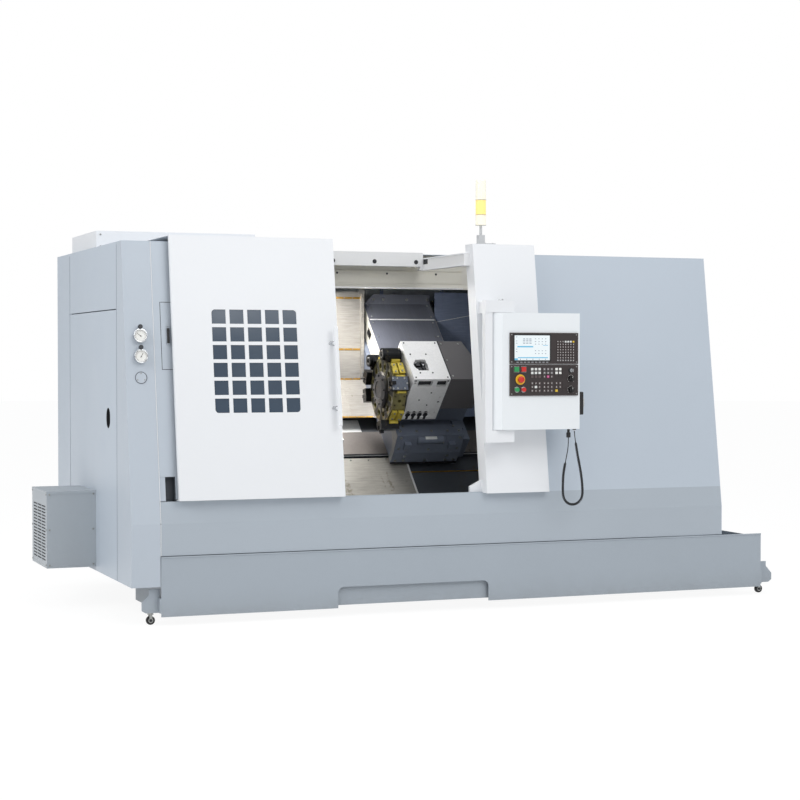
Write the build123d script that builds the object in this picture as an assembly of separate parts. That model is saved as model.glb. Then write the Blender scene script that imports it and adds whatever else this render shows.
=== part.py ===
from build123d import *
import math
import os

# Slant bed turning lathe, millimetres. X runs right along the spindle, Y back, Z up.
# The machine is laid out from the front left corner of its coolant tank, on the floor,
# and the finished pieces are moved so that the origin is below the middle of the machine.

# Shared clearances
slide_gap = 0.3
shaft_clearance = 0.05
panel_seam = 6.0
sheet = 4.0

# Cabin outline
cabin_left = -181.0
cabin_right = 3894.0
cabin_front = 5.0
cabin_rear = 2284.0
cabin_bottom = 238.0
left_top = 2338.0
right_top = 2306.0
bend_height = 618.0
lean_slope = 0.149
sill_height = 750.0
sill_depth = 90.0

# Coolant tank and casters
tank_length = 4200.0
tank_bottom = 55.0
tank_top = 420.0
tank_headroom = 4.0
side_clearance = 30.0
tray_front = 30.0
tray_depth = 760.0
rear_flange = 40.0
tray_rim = 400.0
tray_side_margin = 20.0
notch_left = 1131.0
notch_right = 2159.0
notch_top = 187.0
notch_radius = 38.0
wheel_radius = 27.0
wheel_width = 22.0
caster_reach = 44.0
caster_depth = 100.0
caster_pin_radius = 6.0
bracket_length = 112.0
bracket_height = 168.0
bracket_plate = 8.0
axle_radius = 5.0

# Opening, sliding door and column
cover_right = 1130.0
door_left = 105.0
door_width = 1063.0
door_sill_gap = 6.0
door_top = 2375.0
door_stand_off = 60.0
door_flange = 30.0
cover_shoe_gap = 8.0
shoe_reach = 26.0
rail_back = 10.0
rail_width = 10.0
window_left_margin = 248.0
window_top_margin = 456.0
window_columns = 5
window_rows = 6
window_hole_width = 90.0
window_hole_height = 88.0
window_bar_width = 24.5
window_bar_height = 21.5
window_corner = 22.0
cut_reach = 700.0
glass_margin = 40.0
glass_thickness = 6.0
handle_width = 22.0
handle_length = 620.0
handle_thickness = 18.0
handle_stand_off = 46.0
handle_from_edge = 18.0
handle_middle = 1508.0
stud_radius = 9.0
stud_spacing = 406.0
column_left = 2133.0
column_width = 444.0
column_depth = 120.0
column_top = 2366.0
wedge_back = 36.0
wedge_reach = 78.0

# Roof frame and roof box
lintel_front = 950.0
lintel_depth = 60.0
lintel_bottom = 2250.0
lintel_top = 2345.0
lintel_left = 60.0
lintel_right = 2086.0
side_beam_width = 40.0
side_beam_front = 250.0
side_beam_bottom = 2225.0
side_beam_top = 2308.0
header_front = 1100.0
header_bottom = 2100.0
header_fold = 2132.0
header_lip = 26.0
roof_box_left = -108.0
roof_box_width = 1100.0
roof_box_front = 1316.0
roof_box_depth = 800.0
roof_box_height = 129.0

# Work area: s runs up and back along the 45 degree bed, n stands square to it, both from the spindle axis
spindle_y = 650.0
spindle_z = 1153.0
bed_drop = 500.0
bed_lower_end = -260.0
bed_upper_end = 1000.0
bed_left = 300.0
bed_right = 3600.0
bed_front_floor = 120.0
bed_back = 1760.0
way_left = 1150.0
way_height = 50.0
lower_way_start = 174.0
upper_way_start = 700.0
way_width = 206.0
tail_way_start = -240.0
tail_way_width = 255.0
tail_way_height = 30.0
liner_right = 3300.0
liner_back = 1880.0
liner_hole_radius = 205.0
liner_clearance = 10.0
trough_height = 560.0
trough_front = 180.0

# Headstock, spindle and chuck
headstock_left = 180.0
headstock_right = 1080.0
groove_width = 90.0
groove_rib = 26.0
groove_floor = 256.0
groove_foot = 60.0
nose_wall = 45.0
bore_radius = 40.0
spindle_radius = 105.0
spindle_left = 90.0
chuck_left = 1140.0
chuck_length = 140.0
chuck_radius = 190.0
jaw_width = 46.0
jaw_length = 112.0
jaw_height = 62.0
jaw_root = 26.0
jaw_inner_radius = 62.0
jaw_count = 3

# Saddle, cross slide and turret
saddle_left = 1880.0
saddle_width = 550.0
saddle_lower_end = 130.0
saddle_step_start = 950.0
saddle_top = -265.0
saddle_tail_thickness = 65.0
rib_height = 15.0
rib_width = 70.0
cross_slide_left = 1922.0
cross_slide_width = 500.0
cross_slide_lower_end = 295.0
cross_slide_length = 535.0
cross_slide_top = -125.0
cover_plane = -112.0
cover_lower_end = 835.0
cover_upper_end = 1335.0
cover_left = 1915.0
cover_width = 515.0
cover_step_place = 1175.0
cover_step = 7.0
end_plate_height = 70.0
end_plate_thickness = 8.0
apron_left = 1870.0
apron_width = 495.0
apron_fold_s = 114.0
apron_fold_n = -203.0
apron_top_s = 216.0
apron_knee_s = 81.0
apron_knee_n = -346.0
apron_bottom_n = -440.0
apron_cap_radius = 30.0
apron_cap_length = 190.0
apron_lug = 46.0
turret_gap = 355.0
turret_box_left = 1870.0
turret_box_width = 265.0
turret_box_length = 363.0
turret_box_front = 288.0
turret_box_back = -102.0
turret_box_lower_end = 172.0
drive_housing_width = 245.0
drive_corner_x = 61.0
drive_corner_s = 225.0
disc_left = 1765.0
disc_thickness = 98.0
disc_flats = 430.0
disc_stations = 12
first_station = 20.0
station_bore = 20.0
station_circle = 165.0
hub_radius = 125.0
hub_thickness = 18.0
turret_shaft_radius = 90.0
turret_shaft_length = 120.0
holder_reach = 300.0
holder_width = 92.0
holder_length = 130.0
holder_overhang = 38.0
ring_radius = 42.0
shank = 25.0

# Tailstock
tailstock_left = 2900.0
tailstock_length = 340.0
tailstock_half_width = 95.0
quill_radius = 55.0
quill_length = 260.0
quill_stick_out = 90.0
center_length = 90.0
center_radius = 30.0

# Control pendant
pendant_left = 2119.0
pendant_width = 592.0
pendant_front = -200.0
pendant_depth = 115.0
pendant_bottom = 1163.0
pendant_height = 744.0
pendant_chamfer = 44.0
pendant_wall = 4.0
pivot_x = 2180.0
pivot_y = -140.0
pivot_radius = 12.0
pivot_length = 40.0
arm_height = 78.0
arm_half_depth = 30.0
arm_reach = 82.0
arm_gap = 2.0
arm_post_left = 2062.0
arm_post_width = 50.0
unit_left = 2213.0
unit_width = 482.0
unit_height = 198.0
unit_gap = 6.0
unit_top = 1781.0
unit_thickness = 8.0
screen_width = 250.0
screen_height = 160.0
screen_left_margin = 32.0
screen_top_margin = 16.0
screen_depth = 3.0
key_height = 2.0
key_size = 13.0
button_radius = 14.0
button_height = 14.0
square_button = 30.0
stop_radius = 20.0
stop_stem_radius = 10.0
stop_height = 34.0
knob_radius = 17.0
knob_column = 430.0
knob_height = 24.0
switch_radius = 12.0
control_shaft = 6.0
handwheel_bottom = 1254.0
handwheel_height = 148.0
handwheel_depth = 90.0
handwheel_thickness = 30.0
handwheel_inset = 6.0
dial_radius = 36.0
dial_thickness = 12.0

# Curly cord of the hand wheel, points as (x, z) in one upright plane
cord_y = -150.0
cord_thin = 6.0
cord_fat = 18.0
gland_radius = 9.0
gland_length = 14.0
cord_points = [
    (2699.0, 1149.0),
    (2699.0, 1128.0),
    (2707.0, 1078.0),
    (2722.0, 990.0),
    (2746.0, 880.0),
    (2758.0, 790.0),
    (2758.0, 713.0),
    (2717.0, 672.0),
    (2659.0, 672.0),
    (2618.0, 713.0),
    (2616.0, 790.0),
    (2619.0, 870.0),
    (2634.0, 945.0),
    (2648.0, 1010.0),
    (2656.0, 1058.0),
    (2656.0, 1106.0),
]
cord_fat_runs = (2, 10)
plug_radius = 14.0
plug_length = 34.0

# Gauges, stack light, side unit
gauge_x = -88.0
gauge_heights = (1754.0, 1629.0)
blank_height = 1500.0
blank_radius = 37.0
gauge_radius = 42.0
gauge_depth = 30.0
regulator_radius = 11.0
regulator_height = 26.0
light_x = 2222.0
light_back_from_column_front = 62.0
light_base_length = 115.0
light_base_depth = 70.0
light_base_height = 8.0
light_block_width = 42.0
light_block_height = 54.0
light_pole_radius = 9.0
light_pole_height = 62.0
lens_radius = 34.0
lens_height = 98.0
lens_collar_height = 70.0
lens_cap_height = 40.0
side_unit_width = 320.0
side_unit_front = 1010.0
side_unit_depth = 520.0
side_unit_bottom = 264.0
side_unit_height = 496.0
vent_columns = 3
vent_rows = 18
vent_length = 130.0
vent_height = 10.0

# Left side panels and hatch
side_front_seam = 390.0
side_rear_seam = 1841.0
side_split = 1921.0
pull_y = 635.0
pull_height = 1242.0
pull_length = 130.0
pull_width = 110.0
pull_depth = 26.0
pocket_right = 99.0
pocket_top = 900.0
hatch_left = 44.0
hatch_width = 420.0
hatch_bottom = 1548.0
hatch_height = 415.0
hatch_groove = 3.0

# Rear door
rear_door_left = 2300.0
rear_door_width = 1000.0
rear_door_bottom = 560.0
rear_door_height = 1500.0
rear_door_overlap = 30.0
rear_door_thickness = 22.0
hinge_radius = 9.0
hinge_pin_radius = 5.0
hinge_length = 90.0

# Levelling feet
foot_radius = 65.0
foot_thickness = 36.0
foot_stud_radius = 16.0
foot_left = 700.0
foot_right = 3480.0
foot_front = 900.0
foot_back = 1660.0
feet_along = 3

half = math.sqrt(0.5)


def lean(height, stand_off=0.0):
    """Y of the leaning front face at a height, moved towards the viewer by stand_off."""
    return cabin_front + lean_slope * max(0.0, height - bend_height) - stand_off


def slant(s, n):
    """(y, z) of a point s up the bed and n square to it, both from the spindle axis."""
    return spindle_y + (s - n) * half, spindle_z + (s + n) * half


def box(x0, x1, y0, y1, z0, z1):
    """Box between two corners."""
    return Pos((x0 + x1) / 2, (y0 + y1) / 2, (z0 + z1) / 2) * Box(x1 - x0, y1 - y0, z1 - z0)


def prism(x0, x1, points):
    """Polygon in Y and Z, carried along X."""
    outline = make_face(Polyline(*points, close=True))
    return extrude(Plane.YZ.offset(x0) * outline, amount=x1 - x0, dir=(1, 0, 0))


def plan_prism(z0, z1, points):
    """Polygon in X and Y, carried along Z."""
    outline = make_face(Polyline(*points, close=True))
    return extrude(Plane.XY.offset(z0) * outline, amount=z1 - z0, dir=(0, 0, 1))


def slant_prism(x0, x1, points):
    """Polygon in s and n, carried along X."""
    return prism(x0, x1, [slant(s, n) for s, n in points])


def slant_box(x0, x1, s0, s1, n0, n1):
    """Box square to the bed."""
    return slant_prism(x0, x1, [(s0, n0), (s1, n0), (s1, n1), (s0, n1)])


def rod_x(radius, x0, x1, y, z):
    """Cylinder along X."""
    return Pos((x0 + x1) / 2, y, z) * Rot(0, 90, 0) * Cylinder(radius, x1 - x0)


def rod_y(radius, x, y0, y1, z):
    """Cylinder along Y."""
    return Pos(x, (y0 + y1) / 2, z) * Rot(90, 0, 0) * Cylinder(radius, y1 - y0)


def rod_z(radius, x, y, z0, z1):
    """Upright cylinder."""
    return Pos(x, y, (z0 + z1) / 2) * Cylinder(radius, z1 - z0)


def leaning_plate(x0, x1, z0, z1, stand_off=0.0, thickness=sheet):
    """Plate that follows the leaning front, its outer face at the stand-off."""
    knees = [z for z in (bend_height,) if z0 < z < z1]
    heights = [z0] + knees + [z1]
    outer = [(lean(z, stand_off), z) for z in heights]
    inner = [(lean(z, stand_off) + thickness, z) for z in reversed(heights)]
    return prism(x0, x1, outer + inner)


def on_front(x, z, stand_off=0.0):
    """Frame on the leaning front face: its Z looks out at the viewer and its Y runs up the face."""
    angle = math.atan(lean_slope)
    return Plane(
        origin=(x, lean(z, stand_off), z),
        x_dir=(1, 0, 0),
        z_dir=(0, -math.cos(angle), math.sin(angle)),
    )


def turn_about_x(part, angle, y, z):
    """Part turned about a line along X."""
    return Pos(0, y, z) * Rot(angle, 0, 0) * Pos(0, -y, -z) * part


nodes = {}

# Bed, feet and headstock
door_bottom = sill_height + door_sill_gap
cover_bottom = door_bottom + cover_shoe_gap
left_roof_under = left_top - sheet
right_roof_under = right_top - sheet
bed_face_low = slant(bed_lower_end, -bed_drop)
bed_face_high = slant(bed_upper_end, -bed_drop)


def bed_casting():
    """Wedge with its box ways and cored from below, and the rest for the tank's rear flange."""
    wedge = prism(
        bed_left,
        bed_right,
        [
            bed_face_low,
            bed_face_high,
            (bed_back, bed_face_high[1]),
            (bed_back, bed_front_floor),
            (bed_face_low[0], bed_front_floor),
        ],
    )
    wall = 60
    core = prism(
        bed_left + wall,
        bed_right - wall,
        [
            (bed_face_low[0] + wall, bed_front_floor - 1),
            (bed_back - wall, bed_front_floor - 1),
            (bed_back - wall, bed_face_high[1] - 2 * wall),
            (bed_face_high[0] - wall, bed_face_high[1] - 2 * wall),
            (bed_face_low[0] + wall, bed_face_low[1] - wall),
        ],
    )
    foot_pads = [
        box(x - 120, x + 120, bed_face_low[0], bed_back, bed_front_floor, bed_front_floor + 60)
        for x in foot_positions()
    ]
    ways = [
        slant_box(way_left, bed_right, start, start + width, -bed_drop - 1, -bed_drop + height)
        for start, width, height in (
            (lower_way_start, way_width, way_height),
            (upper_way_start, way_width, way_height),
            (tail_way_start, tail_way_width, tail_way_height),
        )
    ]
    tank_rest = box(
        bed_left, bed_right, tray_depth + 8, bed_face_low[0] + 1, tray_rim - 24, tray_rim - sheet - slide_gap
    )
    return wedge - core + foot_pads + ways + tank_rest


def foot_positions():
    """X of each row of levelling feet."""
    step = (foot_right - foot_left) / (feet_along - 1)
    return [foot_left + step * i for i in range(feet_along)]


def levelling_feet():
    """Round pads with their studs, up to the underside of the bed."""
    return [
        rod_z(foot_radius, x, y, 0, foot_thickness)
        + rod_z(foot_stud_radius, x, y, foot_thickness, bed_front_floor)
        for x in foot_positions()
        for y in (foot_front, foot_back)
    ]


def headstock_casting():
    """Ribbed housing on the bed with a long bore for the spindle."""
    body = slant_prism(
        headstock_left,
        headstock_right,
        [(-230, -bed_drop), (330, -bed_drop), (255, 120), (160, 215), (-160, 215), (-215, 120)],
    )
    pitch = groove_width + groove_rib
    for i in range(int((headstock_right - headstock_left - groove_rib) // pitch)):
        left = headstock_left + groove_rib + pitch * i
        body -= slant_box(left, left + groove_width, groove_floor, 400, groove_foot - bed_drop, 100)
    nose = rod_x(spindle_radius + nose_wall, headstock_right - 1, chuck_left - 12, spindle_y, spindle_z)
    bore = rod_x(spindle_radius + shaft_clearance, headstock_left - 1, chuck_left, spindle_y, spindle_z)
    return body + nose - bore


nodes["bed_casting"] = bed_casting()
nodes["levelling_feet"] = levelling_feet()
nodes["headstock_casting"] = headstock_casting()


# Spindle, chuck and jaws
def spindle():
    """Hollow shaft with its flanged nose and the actuator drum at the rear."""
    shaft = rod_x(spindle_radius, spindle_left, chuck_left - 8, spindle_y, spindle_z)
    flange = rod_x(spindle_radius + 40, chuck_left - 8, chuck_left, spindle_y, spindle_z)
    drum = rod_x(spindle_radius + 35, spindle_left - 160, spindle_left, spindle_y, spindle_z)
    bore = rod_x(bore_radius, spindle_left - 161, chuck_left + 1, spindle_y, spindle_z)
    return shaft + flange + drum - bore


def radial_box(x0, x1, inner, outer, width, index):
    """Box that reaches out from the spindle axis, turned to one jaw's place."""
    upright = box(x0, x1, spindle_y - width / 2, spindle_y + width / 2, spindle_z + inner, spindle_z + outer)
    return turn_about_x(upright, 360 / jaw_count * index, spindle_y, spindle_z)


def chuck_body():
    """Round body with a through bore, a chamfered front and one slot for each jaw."""
    right = chuck_left + chuck_length
    body = rod_x(chuck_radius, chuck_left, right, spindle_y, spindle_z)
    body = chamfer(body.edges().filter_by(GeomType.CIRCLE).sort_by(Axis.X)[-1], 8)
    body -= rod_x(bore_radius + 6, chuck_left - 1, right + 1, spindle_y, spindle_z)
    for index in range(jaw_count):
        slot_width = jaw_width + 2 * slide_gap
        body -= radial_box(right - jaw_root - slide_gap, right + 1, 40, chuck_radius + 5, slot_width, index)
    return body


def chuck_jaw(index):
    """Stepped hard jaw with its root in the chuck's slot."""
    right = chuck_left + chuck_length
    outer = jaw_inner_radius + jaw_length
    root = radial_box(right - jaw_root, right, jaw_inner_radius, outer, jaw_width, index)
    low_step = radial_box(right, right + jaw_height / 2, jaw_inner_radius, outer, jaw_width, index)
    top_step = radial_box(
        right + jaw_height / 2, right + jaw_height, jaw_inner_radius + 38, outer, jaw_width, index
    )
    return root + low_step + top_step


nodes["spindle"] = spindle()
nodes["chuck_body"] = chuck_body()
for index in range(jaw_count):
    nodes[f"chuck_jaw_{index + 1}"] = chuck_jaw(index)

# Saddle, its apron and the cross slide covers
way_top = -bed_drop + way_height + slide_gap
saddle_right = saddle_left + saddle_width
cross_slide_right = cross_slide_left + cross_slide_width
cover_right_side = cover_left + cover_width
turret_box_right = turret_box_left + turret_box_width
turret_box_upper_end = turret_box_lower_end + turret_box_length
turret_y, turret_z = slant(turret_gap, 0)


def saddle():
    """Casting on the bed ways, thinner past the bed's end, with two ribs under the cross slide."""
    tail_under = saddle_top - saddle_tail_thickness
    body = slant_prism(
        saddle_left,
        saddle_right,
        [
            (saddle_lower_end, way_top),
            (saddle_step_start, way_top),
            (saddle_step_start + 90, tail_under),
            (cover_upper_end, tail_under),
            (cover_upper_end, saddle_top),
            (saddle_lower_end, saddle_top),
        ],
    )
    low, high = apron_top_s + sheet, cover_upper_end - 2 * sheet
    ribs = [
        slant_box(x, x + rib_width, low, high, saddle_top - 1, saddle_top + rib_height)
        for x in (cross_slide_left + 20, cross_slide_right - rib_width - 20)
    ]
    return body + ribs


def saddle_apron():
    """Faceted bearing block round the saddle's lower end, with a round cap between two lugs."""
    right = apron_left + apron_width
    block = slant_prism(
        apron_left,
        right,
        [
            (apron_top_s, apron_fold_n),
            (apron_fold_s, apron_fold_n),
            (apron_knee_s, apron_knee_n),
            (apron_knee_s, apron_bottom_n),
            (saddle_lower_end, apron_bottom_n),
            (saddle_lower_end, saddle_top),
            (apron_top_s, saddle_top),
        ],
    )
    middle = apron_left + apron_width / 2
    cap_y, cap_z = slant(apron_fold_s - 4, apron_fold_n - 40)
    half_cap = apron_cap_length / 2
    cap = rod_x(apron_cap_radius, middle - half_cap, middle + half_cap, cap_y, cap_z)
    lugs = [
        slant_box(x, x + apron_lug, apron_knee_s - 12, saddle_lower_end, apron_knee_n + 40, apron_fold_n - 50)
        for x in (apron_left + 60, right - 60 - apron_lug)
    ]
    seat = slant_box(apron_left, right, saddle_lower_end, apron_top_s, apron_knee_n, saddle_top)
    return (block + cap + lugs) - seat


def cross_slide_covers():
    """Hood over the cross slide ways in two stepped plates, closed at its top by an upright end plate."""
    left, right = cover_left, cover_right_side
    step_s, top_s = cover_step_place, cover_upper_end
    lower_plane = cover_plane - cover_step
    upper = slant_box(left, right, step_s, top_s, cover_plane - sheet, cover_plane)
    lower = slant_box(left, right, cover_lower_end, step_s, lower_plane - sheet, lower_plane)
    riser = slant_box(left, right, step_s, step_s + sheet, lower_plane - sheet, cover_plane)
    sides = [
        slant_box(x, x + sheet, cover_lower_end, top_s, saddle_top, lower_plane - 1)
        + slant_box(x, x + sheet, step_s, top_s, saddle_top, cover_plane)
        for x in (left, right - sheet)
    ]
    back = slant_box(left, right, top_s - sheet, top_s, saddle_top, cover_plane)
    foot_y, foot_z = slant(top_s - end_plate_thickness, cover_plane)
    top_z = foot_z + end_plate_height
    outline = [
        (left, foot_z - sheet),
        (right, foot_z - sheet),
        (right, top_z),
        (left + end_plate_height, top_z),
    ]
    face = make_face(Polyline(*outline, close=True))
    end_plate = extrude(Plane.XZ.offset(-foot_y) * face, amount=end_plate_thickness, dir=(0, 1, 0))
    return upper + lower + riser + sides + back + end_plate


def cross_slide():
    """Slab on the saddle's ribs with a raised pad under the turret housing."""
    under = saddle_top + rib_height + slide_gap
    low = cross_slide_lower_end
    high = low + cross_slide_length
    slab = slant_box(cross_slide_left, cross_slide_right, low, high, under, cross_slide_top)
    pad_ends = (turret_box_left + 15, turret_box_right)
    pad = slant_box(*pad_ends, low, turret_box_upper_end, cross_slide_top - 1, turret_box_back)
    return slab + pad


def turret_housing():
    """Box round the turret's drive: a cut-out on the upper face, pockets and scallops on the lower."""
    left, right = turret_box_left, turret_box_right
    low, front, back = turret_box_lower_end, turret_box_front, turret_box_back
    body = slant_box(left, right, low, turret_box_upper_end, back, front)
    window = slant_box(left + 55, left + 131, low + 84, low + 186, front - 30, front + 1)
    bulge = Pos(left + 85, *slant(low + 135, front - 14)) * Rot(45, 0, 0) * Cylinder(51, 31)
    pockets = [
        slant_box(left + start, left + end, low - 1, low + 25, front - 73, front - 18)
        for start, end in ((39, 142), (175, 251))
    ]
    scallops = []
    for i in range(4):
        middle = left + 47 + 43 * i
        scallops.append(slant_bore(16, middle, low - 1, low + 22, back + 64))
        scallops.append(slant_box(middle - 12, middle + 12, low - 1, low + 8, back + 8, back + 30))
    holes = [
        slant_bore(radius, left + x, low - 1, low + 12, front - down)
        for x, down, radius in ((20, 43, 8), (238, 178, 7), (237, 224, 11), (236, 321, 7))
    ]
    bore_end = left + turret_shaft_length - disc_gap() + 8
    bore = rod_x(turret_shaft_radius + shaft_clearance, left - 1, bore_end, turret_y, turret_z)
    return body - window - bulge - pockets - scallops - holes - bore


def slant_bore(radius, x, s0, s1, n):
    """Cylinder along the bed's slope."""
    y, z = slant((s0 + s1) / 2, n)
    return Pos(x, y, z) * Rot(-45, 0, 0) * Cylinder(radius, s1 - s0)


def disc_gap():
    """Running gap between the turret disc and its housing."""
    return turret_box_left - disc_left - disc_thickness


def turret_drive_housing():
    """Sheet cover over the indexing drive, with its far upper corner cut away."""
    wall = 2 * sheet
    left, right = turret_box_right, turret_box_right + drive_housing_width
    low, high, front = turret_box_lower_end, turret_box_upper_end, turret_box_front
    block = slant_box(left, right, low, high, 0, front)
    inner = slant_box(left - 1, right - wall, low + wall, high - wall, -1, front - wall)
    return (block - corner_cut(0)) - (inner - corner_cut(wall))


def corner_cut(inset):
    """Wedge cut from the drive housing's far upper corner, moved inwards by the inset."""
    right, high = turret_box_right + drive_housing_width, turret_box_upper_end
    corners = [
        (right - drive_corner_x - inset, high + 1),
        (right + 1, high + 1),
        (right + 1, high - drive_corner_s),
        (right - inset, high - drive_corner_s),
    ]
    flat = extrude(make_face(Polyline(*corners, close=True)), amount=turret_box_front + 2)
    return Pos(0, spindle_y, spindle_z) * Rot(45, 0, 0) * Pos(0, 0, -1) * flat


def station_angle(index):
    """Degrees from straight up towards the viewer."""
    return first_station + 360 / disc_stations * index


def at_station(part, index):
    """A piece drawn above the turret axis, turned to its station."""
    return turn_about_x(part, station_angle(index), turret_y, turret_z)


def turret_disc():
    """Many sided disc with a bore, a seat hole and four screw holes at each station, its hub and shaft."""
    right = disc_left + disc_thickness
    middle = disc_left + disc_thickness / 2
    flat = turret_z + disc_flats / 2
    outline = RegularPolygon(disc_flats / 2, disc_stations, major_radius=False)
    face = Plane((disc_left, turret_y, turret_z), x_dir=(0, 1, 0), z_dir=(1, 0, 0)) * outline
    body = extrude(face, amount=disc_thickness, dir=(1, 0, 0))
    body = turn_about_x(body, first_station - 180 / disc_stations, turret_y, turret_z)
    cutters = []
    for index in range(disc_stations):
        bores = [rod_x(station_bore, disc_left - 1, disc_left + 50, turret_y, turret_z + station_circle)]
        bores.append(rod_z(12, middle, turret_y, flat - 26, flat + 20))
        for x in (middle - 32, middle + 32):
            for y in (turret_y - 32, turret_y + 32):
                bores.append(rod_z(6, x, y, flat - 20, flat + 20))
        cutters += [at_station(bore, index) for bore in bores]
    body = body - cutters
    hub = rod_x(hub_radius, disc_left - hub_thickness, disc_left + 1, turret_y, turret_z)
    hub = chamfer(hub.edges().filter_by(GeomType.CIRCLE).sort_by(Axis.X)[0], 6)
    shaft = rod_x(turret_shaft_radius, right - 1, right + turret_shaft_length, turret_y, turret_z)
    return body + hub + shaft


def tool_block():
    """Square shank holder above the turret axis: a clamped block with its tool."""
    left = disc_left - holder_overhang
    seat = turret_z + disc_flats / 2
    top = turret_z + holder_reach - shank
    near, far = turret_y - holder_width / 2, turret_y + holder_width / 2
    block = box(left, left + holder_length, near, far, seat, top)
    slot = box(left - 1, left + shank + 18, turret_y - 17, turret_y + 17, top - 30, top + 1)
    tool = box(left + 4, left + 4 + shank, turret_y - 12, turret_y + 12, top - 30, turret_z + holder_reach)
    return block - slot + tool


def ring_holder():
    """Boring bar holder above the turret axis: a block that carries a ring along X."""
    left = disc_left - holder_overhang
    right = left + holder_length
    seat = turret_z + disc_flats / 2
    middle = turret_z + holder_reach - ring_radius
    near, far = turret_y - holder_width / 2, turret_y + holder_width / 2
    base = box(left + 20, right, near, far, seat, middle)
    ring = rod_x(ring_radius, left, right, turret_y, middle)
    return base + ring - rod_x(ring_radius * 0.62, left - 1, right - 40, turret_y, middle)


def tool_holders():
    """The holders that are mounted, each at its station."""
    blocks = [at_station(tool_block(), index) for index in (2, 5, 8, 9)]
    rings = [at_station(ring_holder(), index) for index in (0, 10)]
    return blocks + rings


nodes["saddle"] = saddle()
nodes["saddle_apron"] = saddle_apron()
nodes["cross_slide_covers"] = cross_slide_covers()
nodes["cross_slide"] = cross_slide()
nodes["turret_housing"] = turret_housing()
nodes["turret_drive_housing"] = turret_drive_housing()
nodes["turret_disc"] = turret_disc()
nodes["tool_holders"] = tool_holders()


# Tailstock
def tailstock_body():
    """Leaning casting on the tailstock way, bored for the quill."""
    under = -bed_drop + tail_way_height + slide_gap
    side = tailstock_half_width
    foot_low, foot_high = tail_way_start + 8, tail_way_start + tail_way_width - 8
    right = tailstock_left + tailstock_length
    body = slant_prism(
        tailstock_left,
        right,
        [
            (foot_low, under),
            (foot_high, under),
            (side * 0.5, under + 90),
            (side, -side),
            (side * 0.7, side * 0.85),
            (-side * 0.7, side * 0.85),
            (-side, -side),
            (foot_low, under + 120),
        ],
    )
    return body - rod_x(quill_radius + shaft_clearance, tailstock_left - 1, right - 40, spindle_y, spindle_z)


def tailstock_quill():
    """Quill with its live center pointing at the chuck."""
    front = tailstock_left - quill_stick_out
    quill = rod_x(quill_radius, front, front + quill_length, spindle_y, spindle_z)
    cone = Rot(0, -90, 0) * Cone(center_radius, 1.5, center_length)
    return quill + Pos(front - center_length / 2, spindle_y, spindle_z) * cone


nodes["tailstock_body"] = tailstock_body()
nodes["tailstock_quill"] = tailstock_quill()


# Cabin panels
def left_end_cover():
    """Folded cover at the front left corner: leaning front, left return and flanges behind its neighbours."""
    right = -panel_seam / 2
    seam = side_front_seam - panel_seam / 2
    top = left_roof_under
    front = leaning_plate(cabin_left, right, cabin_bottom, top)
    side_outline = [
        (cabin_front, cabin_bottom),
        (cabin_front, bend_height),
        (lean(top), top),
        (seam, top),
        (seam, cabin_bottom),
    ]
    side = prism(cabin_left, cabin_left + sheet, side_outline)
    inside = cabin_left + sheet
    side_flange = box(inside, inside + sheet, seam - 20, seam + 40, cabin_bottom, top)
    front_flange = leaning_plate(right - 20, right + 40, sill_height + 4, top, -sheet)
    blank = on_front(gauge_x, blank_height) * Pos(0, 0, 0.5) * Cylinder(blank_radius, 3)
    return front + side + side_flange + front_flange + blank


def left_front_cover():
    """Leaning cover behind the sliding door, with the hand pocket and the hatch's outline and latch."""
    left, top = panel_seam / 2, left_roof_under
    cover = leaning_plate(left, cover_right, cover_bottom, top)
    pocket = box(left - 1, pocket_right, -50, 150, cover_bottom - 1, pocket_top)
    hatch_right, hatch_top = hatch_left + hatch_width, hatch_bottom + hatch_height
    inset = hatch_groove
    rim = box(hatch_left, hatch_right, -50, 400, hatch_bottom, hatch_top)
    inside = box(hatch_left + inset, hatch_right - inset, -50, 400, hatch_bottom + inset, hatch_top - inset)
    groove = (rim - inside) & leaning_plate(left, cover_right, cover_bottom, top, 1, 2.5)
    latch = leaning_plate(hatch_left + 34, hatch_left + 56, hatch_bottom + 152, hatch_bottom + 262, 7, 8)
    return cover - pocket - groove + latch


def side_upper_panel():
    """Flat panel above the split on the left side."""
    return box(
        cabin_left,
        cabin_left + sheet,
        side_front_seam + panel_seam / 2,
        side_rear_seam - panel_seam / 2,
        side_split + panel_seam / 2,
        left_roof_under,
    )


def side_lower_panel():
    """Lift-off panel below the split, with an oval cup to pull it by."""
    panel = box(
        cabin_left,
        cabin_left + sheet,
        side_front_seam + panel_seam / 2,
        side_rear_seam - panel_seam / 2,
        cabin_bottom,
        side_split - panel_seam / 2,
    )
    rim = Plane((cabin_left, pull_y, pull_height), x_dir=(0, 0, 1), z_dir=(1, 0, 0))
    lip = 2 * sheet
    cup = extrude(rim * SlotOverall(pull_length + lip, pull_width + lip), amount=pull_depth)
    hollow = extrude(rim * SlotOverall(pull_length, pull_width), amount=pull_depth - sheet)
    return panel + cup - hollow


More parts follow.
